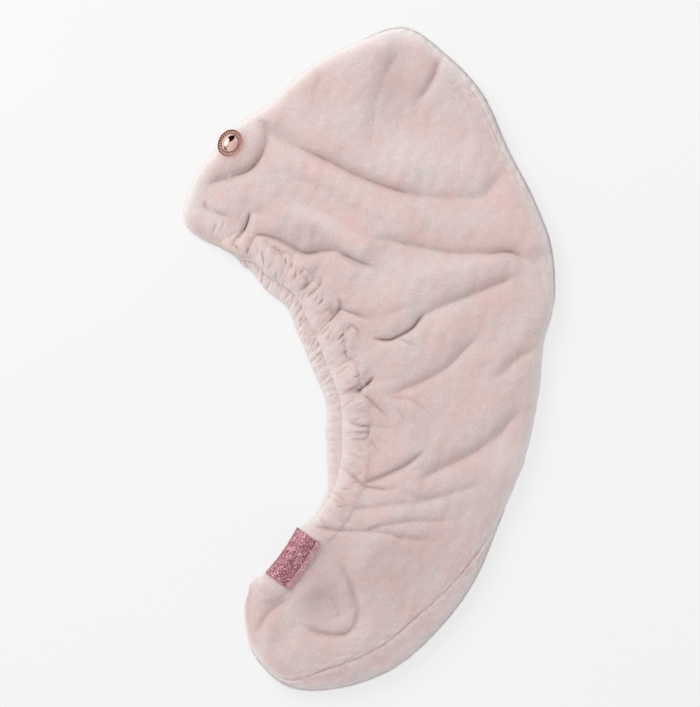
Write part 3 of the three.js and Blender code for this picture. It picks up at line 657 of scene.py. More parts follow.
def fold_relief(x, y):
    """How far the folds lift the cloth, and how much painted shade each point gets in a crease."""
    shape = x.shape
    x, y = x.ravel(), y.ravel()
    height = np.zeros(len(x))
    crease = np.zeros(len(x))
    for row in FOLDS:
        fold = named(FOLD_COLUMNS, row)
        line = fold_line(fold.path)
        far = FOLD_NEAR * max(fold.reach, fold.spread, fold.width)
        low, high = line.min(0) - far, line.max(0) + far
        near = np.flatnonzero((x > low[0]) & (x < high[0]) & (y > low[1]) & (y < high[1]))
        if not len(near):
            continue
        distance, side, share = along_line(line, x[near], y[near])
        strength = smooth(share / fold.fade_in) * smooth((1 - share) / fold.fade_out)
        left = fold.rise * rolled(distance / fold.reach)
        right = fold.swell * rolled(distance / fold.spread)
        valley = mix(
            np.exp(-(distance / fold.width) ** 2),
            np.exp(-(distance / (WIDE_VALLEY * fold.width)) ** 2),
            WIDE_SHARE,
        )
        lift = mix(right, left, side) - fold.drop * valley
        height[near] += strength * lift
        # painted shade: narrow, deep creases are painted darker along their floor
        sharp = min(1, SHARP_WIDTH / fold.width) ** 2 * fold.drop / SHARP_DROP
        crease[near] += strength * sharp * np.exp(-(distance / (CREASE_SHADE_SHARE * fold.width)) ** 2)
    height += patches(DENTS, x, y)
    return height.reshape(shape), np.clip(crease, 0, 1).reshape(shape)


def patches(table, x, y):
    """The sum of a table's soft ellipses: each is its height in the middle and fades outwards."""
    total = np.zeros(np.broadcast(x, y).shape)
    for row in table:
        patch = named(PATCH_COLUMNS, row)
        angle = math.radians(patch.turn)
        dx, dy = x - patch.x, y - patch.y
        along = (dx * math.cos(angle) + dy * math.sin(angle)) / patch.half_length
        across = (dy * math.cos(angle) - dx * math.sin(angle)) / patch.half_width
        total += patch.height * np.exp(-along ** 2 - across ** 2)
    return total


def top_height(s, d):
    """Height of the front panel without its folds, and how much of it is level there."""
    junction = s.front_centre + mix(CLOTH / 2, PANEL_JOIN - HEM_DROP, s.open)
    rise = np.minimum(RISE_WIDTH, s.level - s.casing)
    inner = mix(junction, s.crown, smooth((d - s.casing) / rise))
    across = np.clip((d - s.level) / s.roll, 0, 1)
    up = (1 - across ** ROLL_POWER) ** (1 / ROLL_POWER)
    return np.where(d > s.level, mix(s.rim_height, s.crown, up), inner), up


def roll_places(s, angle):
    """Where an angle lies on the rolled edge, 90 degrees where it is level and 0 outermost."""
    across = np.clip(np.cos(angle), 0, 1) ** (2 / ROLL_POWER)
    return s.level + s.roll * across


def paleness(s, d, x, y):
    """Painted light: how much paler the pile is painted, most along the outer edge and in the patches of
    painted light.
    """
    lit = smooth(0.5 + LIT_TURN * (s.dir_y - s.dir_x))
    reach = mix(RIM_REACH_SHADED, RIM_REACH_LIT, lit)
    rim = np.clip((d - s.length + reach) / reach, 0, 1) ** 2
    return RIM_PALE * rim + patches(PAINTED_LIGHT_PATCHES, x, y)


def painted_light_and_shade(s, d, x, y, crease):
    """The painted light and shade that the plush material reads at each point."""
    return {"crease": crease, "rim": paleness(s, d, x, y), "shade": patches(SHADES, x, y)}


def seam_angle(s):
    """Where on the rolled edge the two panels are sewn together."""
    return np.arccos((1 - s.inset / s.roll) ** (ROLL_POWER / 2))


def fullness(s):
    """How much of its relief the cloth has: none where it lies flat near both ends."""
    return smooth((s.crown - FLAT_STACK) / FULL_RELIEF)


def gather_strength(u):
    """The gathers are strong along the upper hem and weak by the label and at both ends."""
    weaker = mix(1, WEAK_SHARE, since(u, *GATHER_WEAK))
    return since(u, *GATHER_START) * weaker * (1 - since(u, *GATHER_END))


def front_gathers(s):
    """The fine gathers of the front hem, above 0 where they bulge."""
    return GATHER_SHARE * (bulges(s.along, GATHER_PITCH, GATHER_SEED) - 0.5)


def gather_relief(s, d, settings):
    """How far the gathers lift the cloth of the front, on the hem and past it."""
    wide = bulges(s.along, PUFF_PITCH, PUFF_SEED) - 0.5
    past = np.maximum(d - s.casing, 0)
    strength = gather_strength(s.u) * settings.gather_depth
    wide = PUFF_SHARE * wide * np.exp(-past / PUFF_REACH)
    return strength * (front_gathers(s) * np.exp(-past / GATHER_REACH) + wide)


def pleats(s, across, pitch, places, seed):
    """Narrow pleats that run over a hem: their height, and how much painted shade each point gets in
    one.
    """
    rng = np.random.default_rng(seed)
    height = np.zeros(np.broadcast(s.along, across).shape)
    crease = np.zeros(height.shape)
    strength = gather_strength(s.u)
    position = 0.0
    while position < s.along.max():
        position += pitch * rng.uniform(*PLEAT_PITCHES)
        middle = rng.uniform(*places)
        half = rng.uniform(*PLEAT_HALVES)
        lean = rng.uniform(*PLEAT_LEANS)
        drop = rng.uniform(*PLEAT_DEPTHS)
        near = np.flatnonzero(np.abs(s.along[:, 0] - position) < PLEAT_NEAR)
        offset = s.along[near] - position - lean * (across[near] - middle)
        window = smooth(PLEAT_FADE - PLEAT_FADE * np.abs(across[near] - middle) / half)
        window = window * drop * strength[near]
        beside = (np.abs(offset) - PLEAT_SWELL_PLACE) / PLEAT_SWELL_WIDTH
        cut = np.exp(-(offset / PLEAT_WIDTH) ** 2)
        height[near] += window * (PLEAT_SWELL * np.exp(-beside ** 2) - cut)
        crease[near] += window * cut
    return height, crease


def seam_relief(s, distance):
    """The groove and the small puckers beside the sewn edge."""
    pucker = waves(s.along * 2, distance, *PUCKERS) * np.exp(-(distance / PUCKER_REACH) ** 2)
    return pucker - SEAM_DEPTH * np.exp(-(distance / SEAM_WIDTH) ** 2)


def front_surface(settings):
    """Points of the front panel, a row for each station, with the fields of its pile."""
    s = sections_at(np.linspace(0, 1, STATIONS))
    start = s.casing - PANEL_TUCK
    level = mix(start, s.level, np.linspace(0, 1, LEVEL_STEPS + 1)[None, :-1])
    angle = mix(math.pi / 2, seam_angle(s), np.linspace(0, 1, ROLL_STEPS + 1)[None, :])
    d = np.hstack([level, roll_places(s, angle)])
    base, up = top_height(s, d)
    x, y = place(s, d)
    folds, crease = fold_relief(x, y)
    inner = fullness(s)
    relief = folds * inner * up * settings.fold_height
    relief = relief + gather_relief(s, d, settings) * inner * up
    relief = relief + waves(x, y, *FRONT_SWELLS) * up + waves(x, y, *FRONT_RIPPLES)
    relief = relief + seam_relief(s, s.length - s.inset - d) * inner
    z = FLOOR_LIFT + (base + relief - FLOOR_LIFT) * s.shut
    return np.stack([x, y, z], axis=-1), painted_light_and_shade(s, d, x, y, crease * inner * up)


def back_surface(settings):
    """Points of the back panel, from the back hem over the table and up round the edge."""
    s = sections_at(np.linspace(0, 1, STATIONS))
    start = s.casing - s.peek - PANEL_TUCK
    floor = mix(start, s.length - s.under, np.linspace(0, 1, FLOOR_STEPS + 1)[None, :-1])
    angle = mix(-math.pi / 2, seam_angle(s), np.linspace(0, 1, RIM_STEPS + 1)[None, :])
    flat = np.zeros_like(floor)
    low = angle < 0
    d_low = s.length - s.under + s.under * np.cos(angle)
    z_low = s.rim_height * (1 + np.sin(angle))
    d_high = roll_places(s, angle)
    z_high, up_high = top_height(s, d_high)
    d = np.hstack([floor, np.where(low, d_low, d_high)])
    z = np.hstack([flat + FLOOR_LIFT, np.where(low, z_low, z_high)])
    up = np.hstack([flat, np.where(low, 0, up_high)])
    rim = np.hstack([flat, smooth((angle + math.pi / 2) / RIM_FADE)])
    upper = np.hstack([flat, smooth((angle + RIM_FADE) / RIM_FADE)])
    x, y = place(s, d)
    folds, crease = fold_relief(x, y)
    inner = fullness(s)
    relief = folds * inner * up * settings.fold_height
    relief = relief + waves(x, y, *BACK_SWELLS) * rim
    relief = relief + seam_relief(s, np.abs(d - s.length + s.inset)) * inner * upper
    z = FLOOR_LIFT + np.maximum(z + relief - FLOOR_LIFT, 0) * s.shut
    return np.stack([x, y, z], axis=-1), painted_light_and_shade(s, d, x, y, crease * inner * up)


def hem_rings(s, centre_d, centre_z, half_width, half_height):
    """Rings of rounded sections along a hem.

    Beside the distances and heights come two rows over a ring: how near its outer edge each
    point lies, and how near its top.
    """
    theta = np.linspace(0, 2 * math.pi, HEM_SIDES, endpoint=False)[None, :]
    power = 2 / HEM_POWER
    across = np.sign(np.cos(theta)) * np.abs(np.cos(theta)) ** power
    upward = np.sign(np.sin(theta)) * np.abs(np.sin(theta)) ** power
    short = (1 - np.minimum(s.u, 1 - s.u) / HEM_END_SHARE).clip(0, 1)
    ends = np.sqrt(np.clip(1 - short ** 2, HEM_END_LEAST, 1))
    d = centre_d + half_width * across * ends
    z = centre_z + half_height * upward * ends
    return d, z, np.clip(-across, 0, 1) ** 2, np.clip(upward, 0, 1)


def front_hem_surface(settings):
    """Rings of points along the front hem, with the fields of its pile."""
    s = sections_at(np.linspace(0, 1, HEM_STATIONS))
    strength = gather_strength(s.u) * settings.gather_depth
    d, z, outer, top = hem_rings(
        s, s.casing / 2, s.front_centre - HEM_DROP * s.open,
        s.casing / 2 + HEM_LAP + FRONT_EDGE_WAVE * strength * front_gathers(s),
        s.hem_half + HEM_SWELL * s.open,
    )
    z = z - HEM_DROOP * s.open * outer
    x, y = place(s, d)
    folds, crease = fold_relief(x, y)
    inner = fullness(s)
    fade = top ** HEM_FADE
    pleat, pleat_shade = pleats(s, d, PLEAT_PITCH, FRONT_PLEAT_PLACES, GATHER_SEED)
    relief = folds * settings.fold_height + gather_relief(s, d, settings)
    relief = (relief + PLEAT_DEPTH * settings.gather_depth * pleat) * inner
    z = z + relief * fade + waves(x, y, *FRONT_HEM_RIPPLES)
    fields = {
        # painted shade in the hem's creases and pleats
        "crease": np.clip(crease + PLEAT_DARK * pleat_shade, 0, 1) * fade * inner,
        # painted light, paler towards the hem's outer edge
        "rim": HEM_PALE + HEM_EDGE_PALE * outer + patches(PAINTED_LIGHT_PATCHES, x, y),
        "shade": patches(SHADES, x, y) - HEM_WARMTH,
    }
    return np.stack([x, y, z], axis=-1), fields


def back_hem_surface(settings):
    """Rings of points along the back hem, with the fields of its pile."""
    s = sections_at(np.linspace(0, 1, HEM_STATIONS))
    strength = gather_strength(s.u) * settings.gather_depth
    fine = bulges(s.along, BACK_GATHER_PITCH, BACK_SEED) - 0.5
    height = s.hem_half + HEM_SWELL * s.open
    d, z, outer, top = hem_rings(
        s, s.casing / 2 - s.peek, height, s.casing / 2 + BACK_EDGE_WAVE * strength * fine, height,
    )
    x, y = place(s, d)
    fade = top ** HEM_FADE
    pleat, pleat_shade = pleats(s, d, BACK_PLEAT_PITCH, BACK_PLEAT_PLACES, BACK_SEED)
    relief = BACK_GATHER_SHARE * strength * fine + BACK_PLEAT_DEPTH * settings.gather_depth * pleat
    z = np.maximum(z + relief * fade + waves(x, y, *BACK_HEM_RIPPLES), HEM_FLOOR)
    fields = {
        # painted shade in the pleats
        "crease": np.clip(BACK_PLEAT_DARK * pleat_shade, 0, 1) * fade,
        # painted light, paler towards its outer edge
        "rim": np.broadcast_to(BACK_HEM_PALE + BACK_HEM_EDGE_PALE * outer, x.shape),
        "shade": np.full_like(x, -HEM_WARMTH),
    }
    return np.stack([x, y, z], axis=-1), fields


def grid_faces(rows, columns, closed=False):
    """Quads over a grid of points, whose columns may close into a tube."""
    i = np.arange(rows - 1)[:, None]
    k = np.arange(columns if closed else columns - 1)[None, :]
    following = (k + 1) % columns
    corners = [i * columns + k, (i + 1) * columns + k]
    corners += [(i + 1) * columns + following, i * columns + following]
    return np.stack(np.broadcast_arrays(*corners), axis=-1).reshape(-1, 4)


def add_mesh(name, points, faces, finish, caps=(), fields=None, chart=None):
    """Makes an object from points in millimetres, a face array and single end faces."""
    mesh = bpy.data.meshes.new(name)
    corners = np.concatenate([faces.ravel(), *[np.asarray(cap) for cap in caps]]).astype(np.int32)
    sizes = np.array([faces.shape[1]] * len(faces) + [len(cap) for cap in caps])
    starts = np.concatenate([[0], np.cumsum(sizes)[:-1]]).astype(np.int32)
    mesh.vertices.add(len(points))
    mesh.vertices.foreach_set("co", (points * MM).astype(np.float32).ravel())
    mesh.loops.add(len(corners))
    mesh.loops.foreach_set("vertex_index", corners)
    mesh.polygons.add(len(sizes))
    mesh.polygons.foreach_set("loop_start", starts)
    mesh.update(calc_edges=True)
    mesh.validate()
    mesh.polygons.foreach_set("use_smooth", [True] * len(mesh.polygons))
    for field, values in (fields or {}).items():
        attribute = mesh.attributes.new(field, "FLOAT", "POINT")
        attribute.data.foreach_set("value", values.astype(np.float32).ravel())
    if chart is not None:
        layer = mesh.uv_layers.new(name="OFBake")
        layer.uv.foreach_set("vector", chart.astype(np.float32).ravel())
    obj = bpy.data.objects.new(name, mesh)
    bpy.context.scene.collection.objects.link(obj)
    mesh.materials.append(finish)
    return obj


def add_sheet(name, points, fields, finish):
    """An open sheet over a grid, with a map that follows the grid."""
    rows, columns = points.shape[:2]
    faces = grid_faces(rows, columns)
    u, v = np.meshgrid(np.linspace(0, 1, rows), np.linspace(0, 1, columns), indexing="ij")
    chart = np.stack([u, v], axis=-1).reshape(-1, 2)[faces.ravel()]
    return add_mesh(name, points.reshape(-1, 3), faces, finish, fields=fields, chart=chart)


def add_tube(name, points, fields, finish, ends=None):
    """A closed tube over rings, with an end face at each end, or those given."""
    rows, columns = points.shape[:2]
    faces = grid_faces(rows, columns, closed=True)
    if ends is None:
        ends = (np.arange(columns)[::-1], (rows - 1) * columns + np.arange(columns))
    return add_mesh(name, points.reshape(-1, 3), faces, finish, caps=ends, fields=fields)


def add_hoop(name, points, fields, finish):
    """A closed ring of a turned profile, whose last row joins its first."""
    rows, columns = points.shape[:2]
    faces = grid_faces(rows + 1, columns, closed=True) % (rows * columns)
    return add_mesh(name, points.reshape(-1, 3), faces, finish, fields=fields)


def linear(text):
    """An sRGB hex colour as linear RGBA."""
    parts = [int(text[i:i + 2], 16) / 255 for i in (1, 3, 5)]
    return [c / 12.92 if c <= 0.04045 else ((c + 0.055) / 1.055) ** 2.4 for c in parts] + [1]


def add_node(tree, kind, inputs=None, **settings):
    """Adds a node with its settings. Each input is a value or a socket to link from."""
    node = tree.nodes.new(kind)
    for name, value in settings.items():
        setattr(node, name, value)
    for name, value in (inputs or {}).items():
        if isinstance(value, bpy.types.NodeSocket):
            tree.links.new(value, node.inputs[name])
        else:
            node.inputs[name].default_value = value
    return node


def new_material(name):
    material = bpy.data.materials.new(name)
    material.use_nodes = True
    tree = material.node_tree
    tree.nodes.clear()
    return material, tree


def finish_material(tree, shader):
    add_node(tree, "ShaderNodeOutputMaterial", {"Surface": shader.outputs[0]})


def per_metre(millimetres):
    """The scale of a noise whose features are about so many millimetres."""
    return 1 / (millimetres * MM)


def tuned(tree, factor, low, high):
    """Stretches a noise factor from low..high to 0..1."""
    return add_node(tree, "ShaderNodeMapRange", {
        "Value": factor, "From Min": low, "From Max": high,
    }).outputs[0]


def blended(tree, factor, a, b):
    """A colour between two, by a factor. Each is a value or a socket."""
    node = add_node(tree, "ShaderNodeMix", data_type="RGBA")
    for socket, value in ((node.inputs[0], factor), (node.inputs[6], a), (node.inputs[7], b)):
        if isinstance(value, bpy.types.NodeSocket):
            tree.links.new(value, socket)
        else:
            socket.default_value = value
    return node.outputs[2]


def layered(tree, colour, layers):
    """Lays colours over a first one. A row is where each shows and its hex value."""
    for factor, over in layers:
        colour = blended(tree, factor, colour, linear(over))
    return colour


def plush_material(settings):
    """Polyester plush, knitted and cut to a short pile, piece-dyed.

    The cut pile scatters light almost evenly and shows darker streaks where it is brushed
    another way. Light and shade are also painted into its colour: painted sheen where it is seen
    edge on, painted light along the outer edge and in patches, and painted shade in the creases and in
    patches.
    """
    material, tree = new_material("plush_cut_pile")
    where = add_node(tree, "ShaderNodeTexCoord").outputs["Object"]
    pile = {}
    normal = None
    for row in PILE:
        pattern = named(PILE_COLUMNS, row)
        pile[pattern.name] = add_node(tree, "ShaderNodeTexNoise", {
            "Vector": where, "Scale": per_metre(pattern.size), "Detail": pattern.detail,
            "Roughness": 0.6,
        }).outputs["Fac"]
        if not pattern.bump:
            continue
        inputs = {"Height": pile[pattern.name], "Distance": pattern.bump * MM, "Strength": 1.0}
        if normal is not None:
            inputs["Normal"] = normal
        normal = add_node(tree, "ShaderNodeBump", inputs).outputs[0]
    field = {
        name: add_node(tree, "ShaderNodeAttribute", attribute_name=name).outputs["Fac"]
        for name in ("crease", "shade", "rim", "tip")
    }
    facing = add_node(tree, "ShaderNodeLayerWeight", {"Blend": 0.5}).outputs["Facing"]
    dyed = blended(tree, tuned(tree, pile["patch"], 0.38, 0.62), linear("#E0D7D2"), linear("#E3C3BC"))
    colour = layered(tree, dyed, (
        (tuned(tree, pile["brushed"], 0.42, 0.7), "#DFD0D0"),
        (tuned(tree, pile["tuft"], 0.3, 0.75), "#D0B7B3"),
        # painted shade in the creases and pleats
        (field["crease"], "#836460"),
        # painted shade darker above 0, painted pinker tone and light below
        (tuned(tree, field["shade"], 0.0, 1.0), "#A58F8D"),
        (tuned(tree, field["shade"], 0.0, -1.0), "#EBC2B9"),
        # painted sheen: paler where the face is seen edge on
        (tuned(tree, facing, 0.3, 1.0), "#F4E9E4"),
        # painted light along the outer edge and in the pale patches
        (field["rim"], "#F5F0EE"),
        # painted light on the loose fibres
        (field["tip"], "#F4EAE8"),
    ))
    shader = add_node(tree, "ShaderNodeBsdfPrincipled", {
        "Base Color": colour,
        "Roughness": 0.95,
        "IOR": 1.5,
        "Specular IOR Level": 0.15,
        "Sheen Weight": settings.sheen,
        "Sheen Roughness": 0.55,
        "Sheen Tint": linear("#FFF3F0"),
        "Normal": normal,
    })
    finish_material(tree, shader)
    return material


def glitter_material():
    """Polyester tape coated with glitter flakes in a clear binder.

    Each flake mirrors its own way, and this is also painted into the colour as painted glints, from dark
    wine to pale pink flake by flake.
    """
    material, tree = new_material("glitter_tape")
    where = add_node(tree, "ShaderNodeTexCoord").outputs["Object"]
    flake = add_node(tree, "ShaderNodeTexVoronoi", {
        "Vector": where, "Scale": per_metre(GLITTER_FLAKE), "Randomness": 1.0,
    })
    chance = add_node(tree, "ShaderNodeSeparateColor", {"Color": flake.outputs["Color"]}).outputs
    worn = add_node(tree, "ShaderNodeTexNoise", {
        "Vector": where, "Scale": per_metre(GLITTER_WEAR), "Detail": 3.0,
    }).outputs["Fac"]
    dent = add_node(tree, "ShaderNodeAttribute", attribute_name="crease").outputs["Fac"]
    strip = add_node(tree, "ShaderNodeAttribute", attribute_name="strip").outputs["Fac"]
    flakes = tuned(tree, chance["Red"], 0.0, 0.75)
    colour = layered(tree, blended(tree, flakes, linear("#6E3641"), linear("#B27781")), (
        (tuned(tree, worn, 0.45, 0.9), "#C08A92"),
        # painted shade along the sewn dent
        (dent, "#6E2C37"),
        (tuned(tree, strip, 0.0, 2.4), "#E8B9BD"),
        # painted glints: a few flakes are painted pale pink
        (tuned(tree, chance["Red"], 0.8, 0.98), "#F2C8CC"),
    ))
    tilt = add_node(tree, "ShaderNodeBump", {
        "Height": chance["Green"], "Distance": 0.3 * MM, "Strength": 0.5,
    }).outputs[0]
    shader = add_node(tree, "ShaderNodeBsdfPrincipled", {
        "Base Color": colour, "Metallic": 0.35, "Roughness": 0.42, "Normal": tilt,
    })
    finish_material(tree, shader)
    return material


def thread_material():
    """Twisted polyester sewing thread, dyed wine: matt, with a fine slanting twist."""
    material, tree = new_material("sewing_thread")
    where = add_node(tree, "ShaderNodeTexCoord").outputs["Object"]
    twist = add_node(tree, "ShaderNodeTexWave", {
        "Vector": where, "Scale": per_metre(THREAD_TWIST), "Distortion": 1.0,
    }, wave_type="BANDS", bands_direction="DIAGONAL").outputs["Fac"]
    colour = blended(tree, twist, linear("#7A3E49"), linear("#A86A74"))
    shader = add_node(tree, "ShaderNodeBsdfPrincipled", {
        "Base Color": colour, "Roughness": 0.6, "Specular IOR Level": 0.3,
    })
    finish_material(tree, shader)
    return material


def metal_material(name, colour, roughness, grain):
    """Zinc alloy, cast or turned, plated rose gold and polished or left slightly grained.

    The plate mirrors the room in pink, and the grooves between the reeds are painted darker.
    """
    material, tree = new_material(name)
    where = add_node(tree, "ShaderNodeTexCoord").outputs["Object"]
    rub = add_node(tree, "ShaderNodeTexNoise", {
        "Vector": where, "Scale": per_metre(METAL_RUB), "Detail": 4.0,
    }).outputs["Fac"]
    hair = add_node(tree, "ShaderNodeTexNoise", {
        "Vector": where, "Scale": per_metre(METAL_GRAIN), "Detail": 2.0,
    }).outputs["Fac"]
    tint = blended(tree, rub, linear(colour), linear("#EBC6BC"))
    groove = add_node(tree, "ShaderNodeAttribute", attribute_name="groove").outputs["Fac"]
    # the grooves between the reeds painted darker
    tint = blended(tree, groove, tint, linear("#6E453D"))
    rough = add_node(tree, "ShaderNodeMapRange", {
        "Value": rub, "To Min": roughness, "To Max": roughness + grain,
    }).outputs[0]
    normal = add_node(tree, "ShaderNodeBump", {
        "Height": hair, "Distance": 0.02 * MM, "Strength": grain,
    }).outputs[0]
    shader = add_node(tree, "ShaderNodeBsdfPrincipled", {
        "Base Color": tint, "Metallic": 1.0, "Roughness": rough, "Normal": normal,
    })
    finish_material(tree, shader)
    return material


def backdrop_material():
    """Opal acrylic light table, matt, with a faint unevenness."""
    material, tree = new_material("opal_acrylic_table")
    where = add_node(tree, "ShaderNodeTexCoord").outputs["Object"]
    cloud = add_node(tree, "ShaderNodeTexNoise", {
        "Vector": where, "Scale": per_metre(TABLE_CLOUD), "Detail": 2.0,
    }).outputs["Fac"]
    colour = blended(tree, cloud, linear("#8B8B8A"), linear("#8E8E8D"))
    shader = add_node(tree, "ShaderNodeBsdfPrincipled", {
        "Base Color": colour, "Roughness": 0.9, "Specular IOR Level": 0.1,
        "Emission Color": linear("#FFFFFF"), "Emission Strength": TABLE_GLOW,
    })
    finish_material(tree, shader)
    return material


def grid_normals(points):
    along = np.gradient(points, axis=0)
    across = np.gradient(points, axis=1)
    normal = np.cross(along, across)
    length = np.linalg.norm(normal, axis=-1, keepdims=True)
    return normal / np.maximum(length, 1e-9)


def label_places(along, reach):
    """Places on the table for a place along the label and a reach over the towel."""
    in_x, in_y = math.cos(LABEL_TURN), math.sin(LABEL_TURN)
    bow = LABEL_BOW * (1 - (2 * along / LABEL_LENGTH) ** 2)
    reach = reach + bow
    return LABEL_X - in_y * along + in_x * reach, LABEL_Y + in_x * along + in_y * reach


def in_label(x, y, margin=0.5):
    """Whether places lie under the label."""
    in_x, in_y = math.cos(LABEL_TURN), math.sin(LABEL_TURN)
    dx, dy = x - LABEL_X, y - LABEL_Y
    along = in_x * dy - in_y * dx
    reach = in_x * dx + in_y * dy - LABEL_BOW * (1 - (2 * along / LABEL_LENGTH) ** 2)
    inside = (np.abs(along) < LABEL_LENGTH / 2 - margin) & (reach < LABEL_WIDTH - margin)
    return inside & (reach > -LABEL_REACH_OUT)


def past_seam(reach):
    """How far a place on the label lies past its sewn line."""
    return reach - LABEL_WIDTH + LABEL_SEAM


def cloth_heights(names, x, y):
    """Heights of the topmost of some pieces under places, and 0 where there is none."""
    depsgraph = bpy.context.evaluated_depsgraph_get()
    trees = [BVHTree.FromObject(bpy.data.objects[name], depsgraph) for name in names]
    down = Vector((0, 0, -1))
    heights = np.zeros(x.size)
    for k, (px, py) in enumerate(zip(x.ravel(), y.ravel())):
        for tree in trees:
            hit = tree.ray_cast(Vector((px, py, SCAN_HEIGHT)) * MM, down)[0]
            if hit is not None:
                heights[k] = max(heights[k], hit.z / MM)
    return heights.reshape(x.shape)


def spread(values, times, pick):
    """Widens or softens a grid of heights: pick is what a point takes from its neighbours."""
    for _ in range(times):
        edged = np.pad(values, 1, mode="edge")
        around = [
            edged[1 + i:1 + i + values.shape[0], 1 + k:1 + k + values.shape[1]]
            for i in (-1, 0, 1) for k in (-1, 0, 1)
        ]
        values = pick(np.stack(around), axis=0)
    return values


def label_surface():
    """The outer face of the label: under the hem, round its edge and over it on to the panel."""
    along = (np.linspace(-0.5, 0.5, LABEL_STATIONS + 1) * LABEL_LENGTH)[:, None]
    over = np.linspace(LABEL_FOLD, LABEL_WIDTH, LABEL_COLUMNS + 1)[None, :]
    x, y = label_places(along, over)
    height = cloth_heights(("plush_front", "gathered_front_hem"), x, y)
    height = spread(spread(height, 2, np.max), 6, np.mean) + LABEL_THICKNESS + LABEL_LIFT
    dent = np.exp(-(past_seam(over) / LABEL_DENT) ** 2)
    sewn_down = smooth(past_seam(over) / LABEL_SEAM)
    height = height - LABEL_SINK * dent - LABEL_SINK * sewn_down + waves(x, y, *LABEL_RIPPLES)
    half = CASING_THICKNESS / 2 + HEM_SWELL + LABEL_THICKNESS
    middle = height[:, :1] - half
    angle = np.linspace(-math.pi / 2, math.pi / 2, LABEL_TURN_STEPS + 1)[None, :-1]
    turn = LABEL_FOLD - LABEL_REACH_OUT * np.cos(angle)
    under = np.linspace(LABEL_UNDER, LABEL_FOLD, LABEL_UNDER_STEPS + 1)[None, :-1]
    reach = np.hstack([under, turn, over]) * np.ones_like(along)
    z = np.hstack([middle - half + 0 * under, middle + half * np.sin(angle), height])
    x, y = label_places(along, reach)
    fields = {
        # painted shade along the sewn dent
        "crease": np.exp(-(past_seam(reach) / LABEL_MARK) ** 2),
        "strip": smooth(past_seam(reach) / LABEL_MARK),
    }
    return np.stack([x, y, z], axis=-1), fields


def slab(points, thickness):
    """Gives a grid a second face below it: closed rings, and their two end caps."""
    inner = points - thickness * grid_normals(points)
    rings = np.concatenate([points, inner[:, ::-1]], axis=1)
    rows, columns = rings.shape[:2]
    pairs = np.array([(k, k + 1, columns - 2 - k, columns - 1 - k) for k in range(columns // 2 - 1)])
    return rings, [*pairs[:, ::-1], *(pairs + (rows - 1) * columns)]


def thread_stitches(line):
    """Short rounded stitches along a line of points, as rings of one tube after another."""
    distance = np.concatenate([[0], np.cumsum(np.linalg.norm(np.diff(line, axis=0), axis=1))])
    starts = np.arange(STITCH_PITCH / 2, distance[-1] - STITCH_LENGTH, STITCH_PITCH)
    share = np.linspace(0, 1, STITCH_RINGS)
    turn = np.linspace(0, 2 * math.pi, STITCH_SIDES, endpoint=False)
    tubes = []
    for start in starts:
        where = start + share * STITCH_LENGTH
        middle = np.stack([np.interp(where, distance, line[:, k]) for k in range(3)], axis=-1)
        way = middle[-1] - middle[0]
        way /= np.linalg.norm(way)
        side = np.cross(way, (0, 0, 1))
        up = np.cross(side, way)
        size = STITCH_RADIUS * np.sqrt(np.clip(1 - (2 * share - 1) ** 4, 0.03, 1))
        arch = up * (0.5 * STITCH_RADIUS * np.sin(math.pi * share))[:, None]
        ring = np.cos(turn)[:, None] * side + np.sin(turn)[:, None] * up
        tubes.append((middle + arch)[:, None] + size[:, None, None] * ring[None])
    return np.array(tubes)


def button_frame():
    """Back of the button's cup, and its sideways, other and upright directions."""
    mesh = frame["nodes"]["button_ring"].data
    points = np.empty(3 * len(mesh.vertices), dtype=np.float32)
    mesh.vertices.foreach_get("co", points)
    points = points.reshape(-1, 3) / MM
    low, high = (np.array(corner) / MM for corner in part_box("button_ring"))
    middle = (low + high) / 2
    upright = np.linalg.svd(points - points.mean(0))[2][2]
    upright *= np.sign(upright[2])
    heights = (points - middle) @ upright
    back = middle + upright * (heights.min() - CUP_FLOOR - GAP)
    side = np.cross(upright, (0, 1, 0))
    side /= np.linalg.norm(side)
    return back, side, np.cross(upright, side), upright


def turned(profile):
    """Rings of a turned shape, and how deep in a groove each point lies.

    A row of the profile is a radius, a height and how far the reeds are cut there.
    """
    back, side, other, upright = button_frame()
    radius, height, reeded = np.array(profile).T[:, :, None]
    angle = np.linspace(0, 2 * math.pi, TURNED_SIDES, endpoint=False)[None, :]
    groove = reeded * (1 - np.abs(np.sin(angle * REEDS / 2)))
    height = height - REED_DEPTH * groove
    offset = radius[..., None] * (np.cos(angle)[..., None] * side + np.sin(angle)[..., None] * other)
    return back + offset + height[..., None] * upright, {"groove": groove}


def rounded_corner(radius, height, out, up, size, steps=5):
    """A rounded corner of a profile: out and up are 1 or -1, the way that the corner points."""
    angles = np.linspace(0, math.pi / 2, steps)
    return [
        (radius + out * size * (math.sin(a) - 1), height + up * size * (math.cos(a) - 1), 0)
        for a in angles
    ]


def cup_profile():
    """From the end of the post, out over the back and the lip, and in to the cup's floor."""
    lip = rounded_corner(BUTTON_RADIUS, BUTTON_HEIGHT, 1, 1, 0.7)[::-1]
    well = RING_OUT + GAP
    return [
        (AXIS, -POST_LENGTH, 0), (POST_RADIUS - 0.4, -POST_LENGTH, 0),
        (POST_RADIUS, -POST_LENGTH + 0.4, 0), (POST_RADIUS, -0.5, 0), (POST_RADIUS + 0.5, 0, 0),
        (BUTTON_RADIUS - 2.6, 0, 0), (BUTTON_RADIUS - 1.1, 0.4, 0), (BUTTON_RADIUS - 0.3, 1.2, 0),
        (BUTTON_RADIUS, 2.2, 0), *lip, *rounded_corner(well, BUTTON_HEIGHT, -1, 1, 0.25),
        (well, CUP_FLOOR, 0), (AXIS, CUP_FLOOR, 0),
    ]


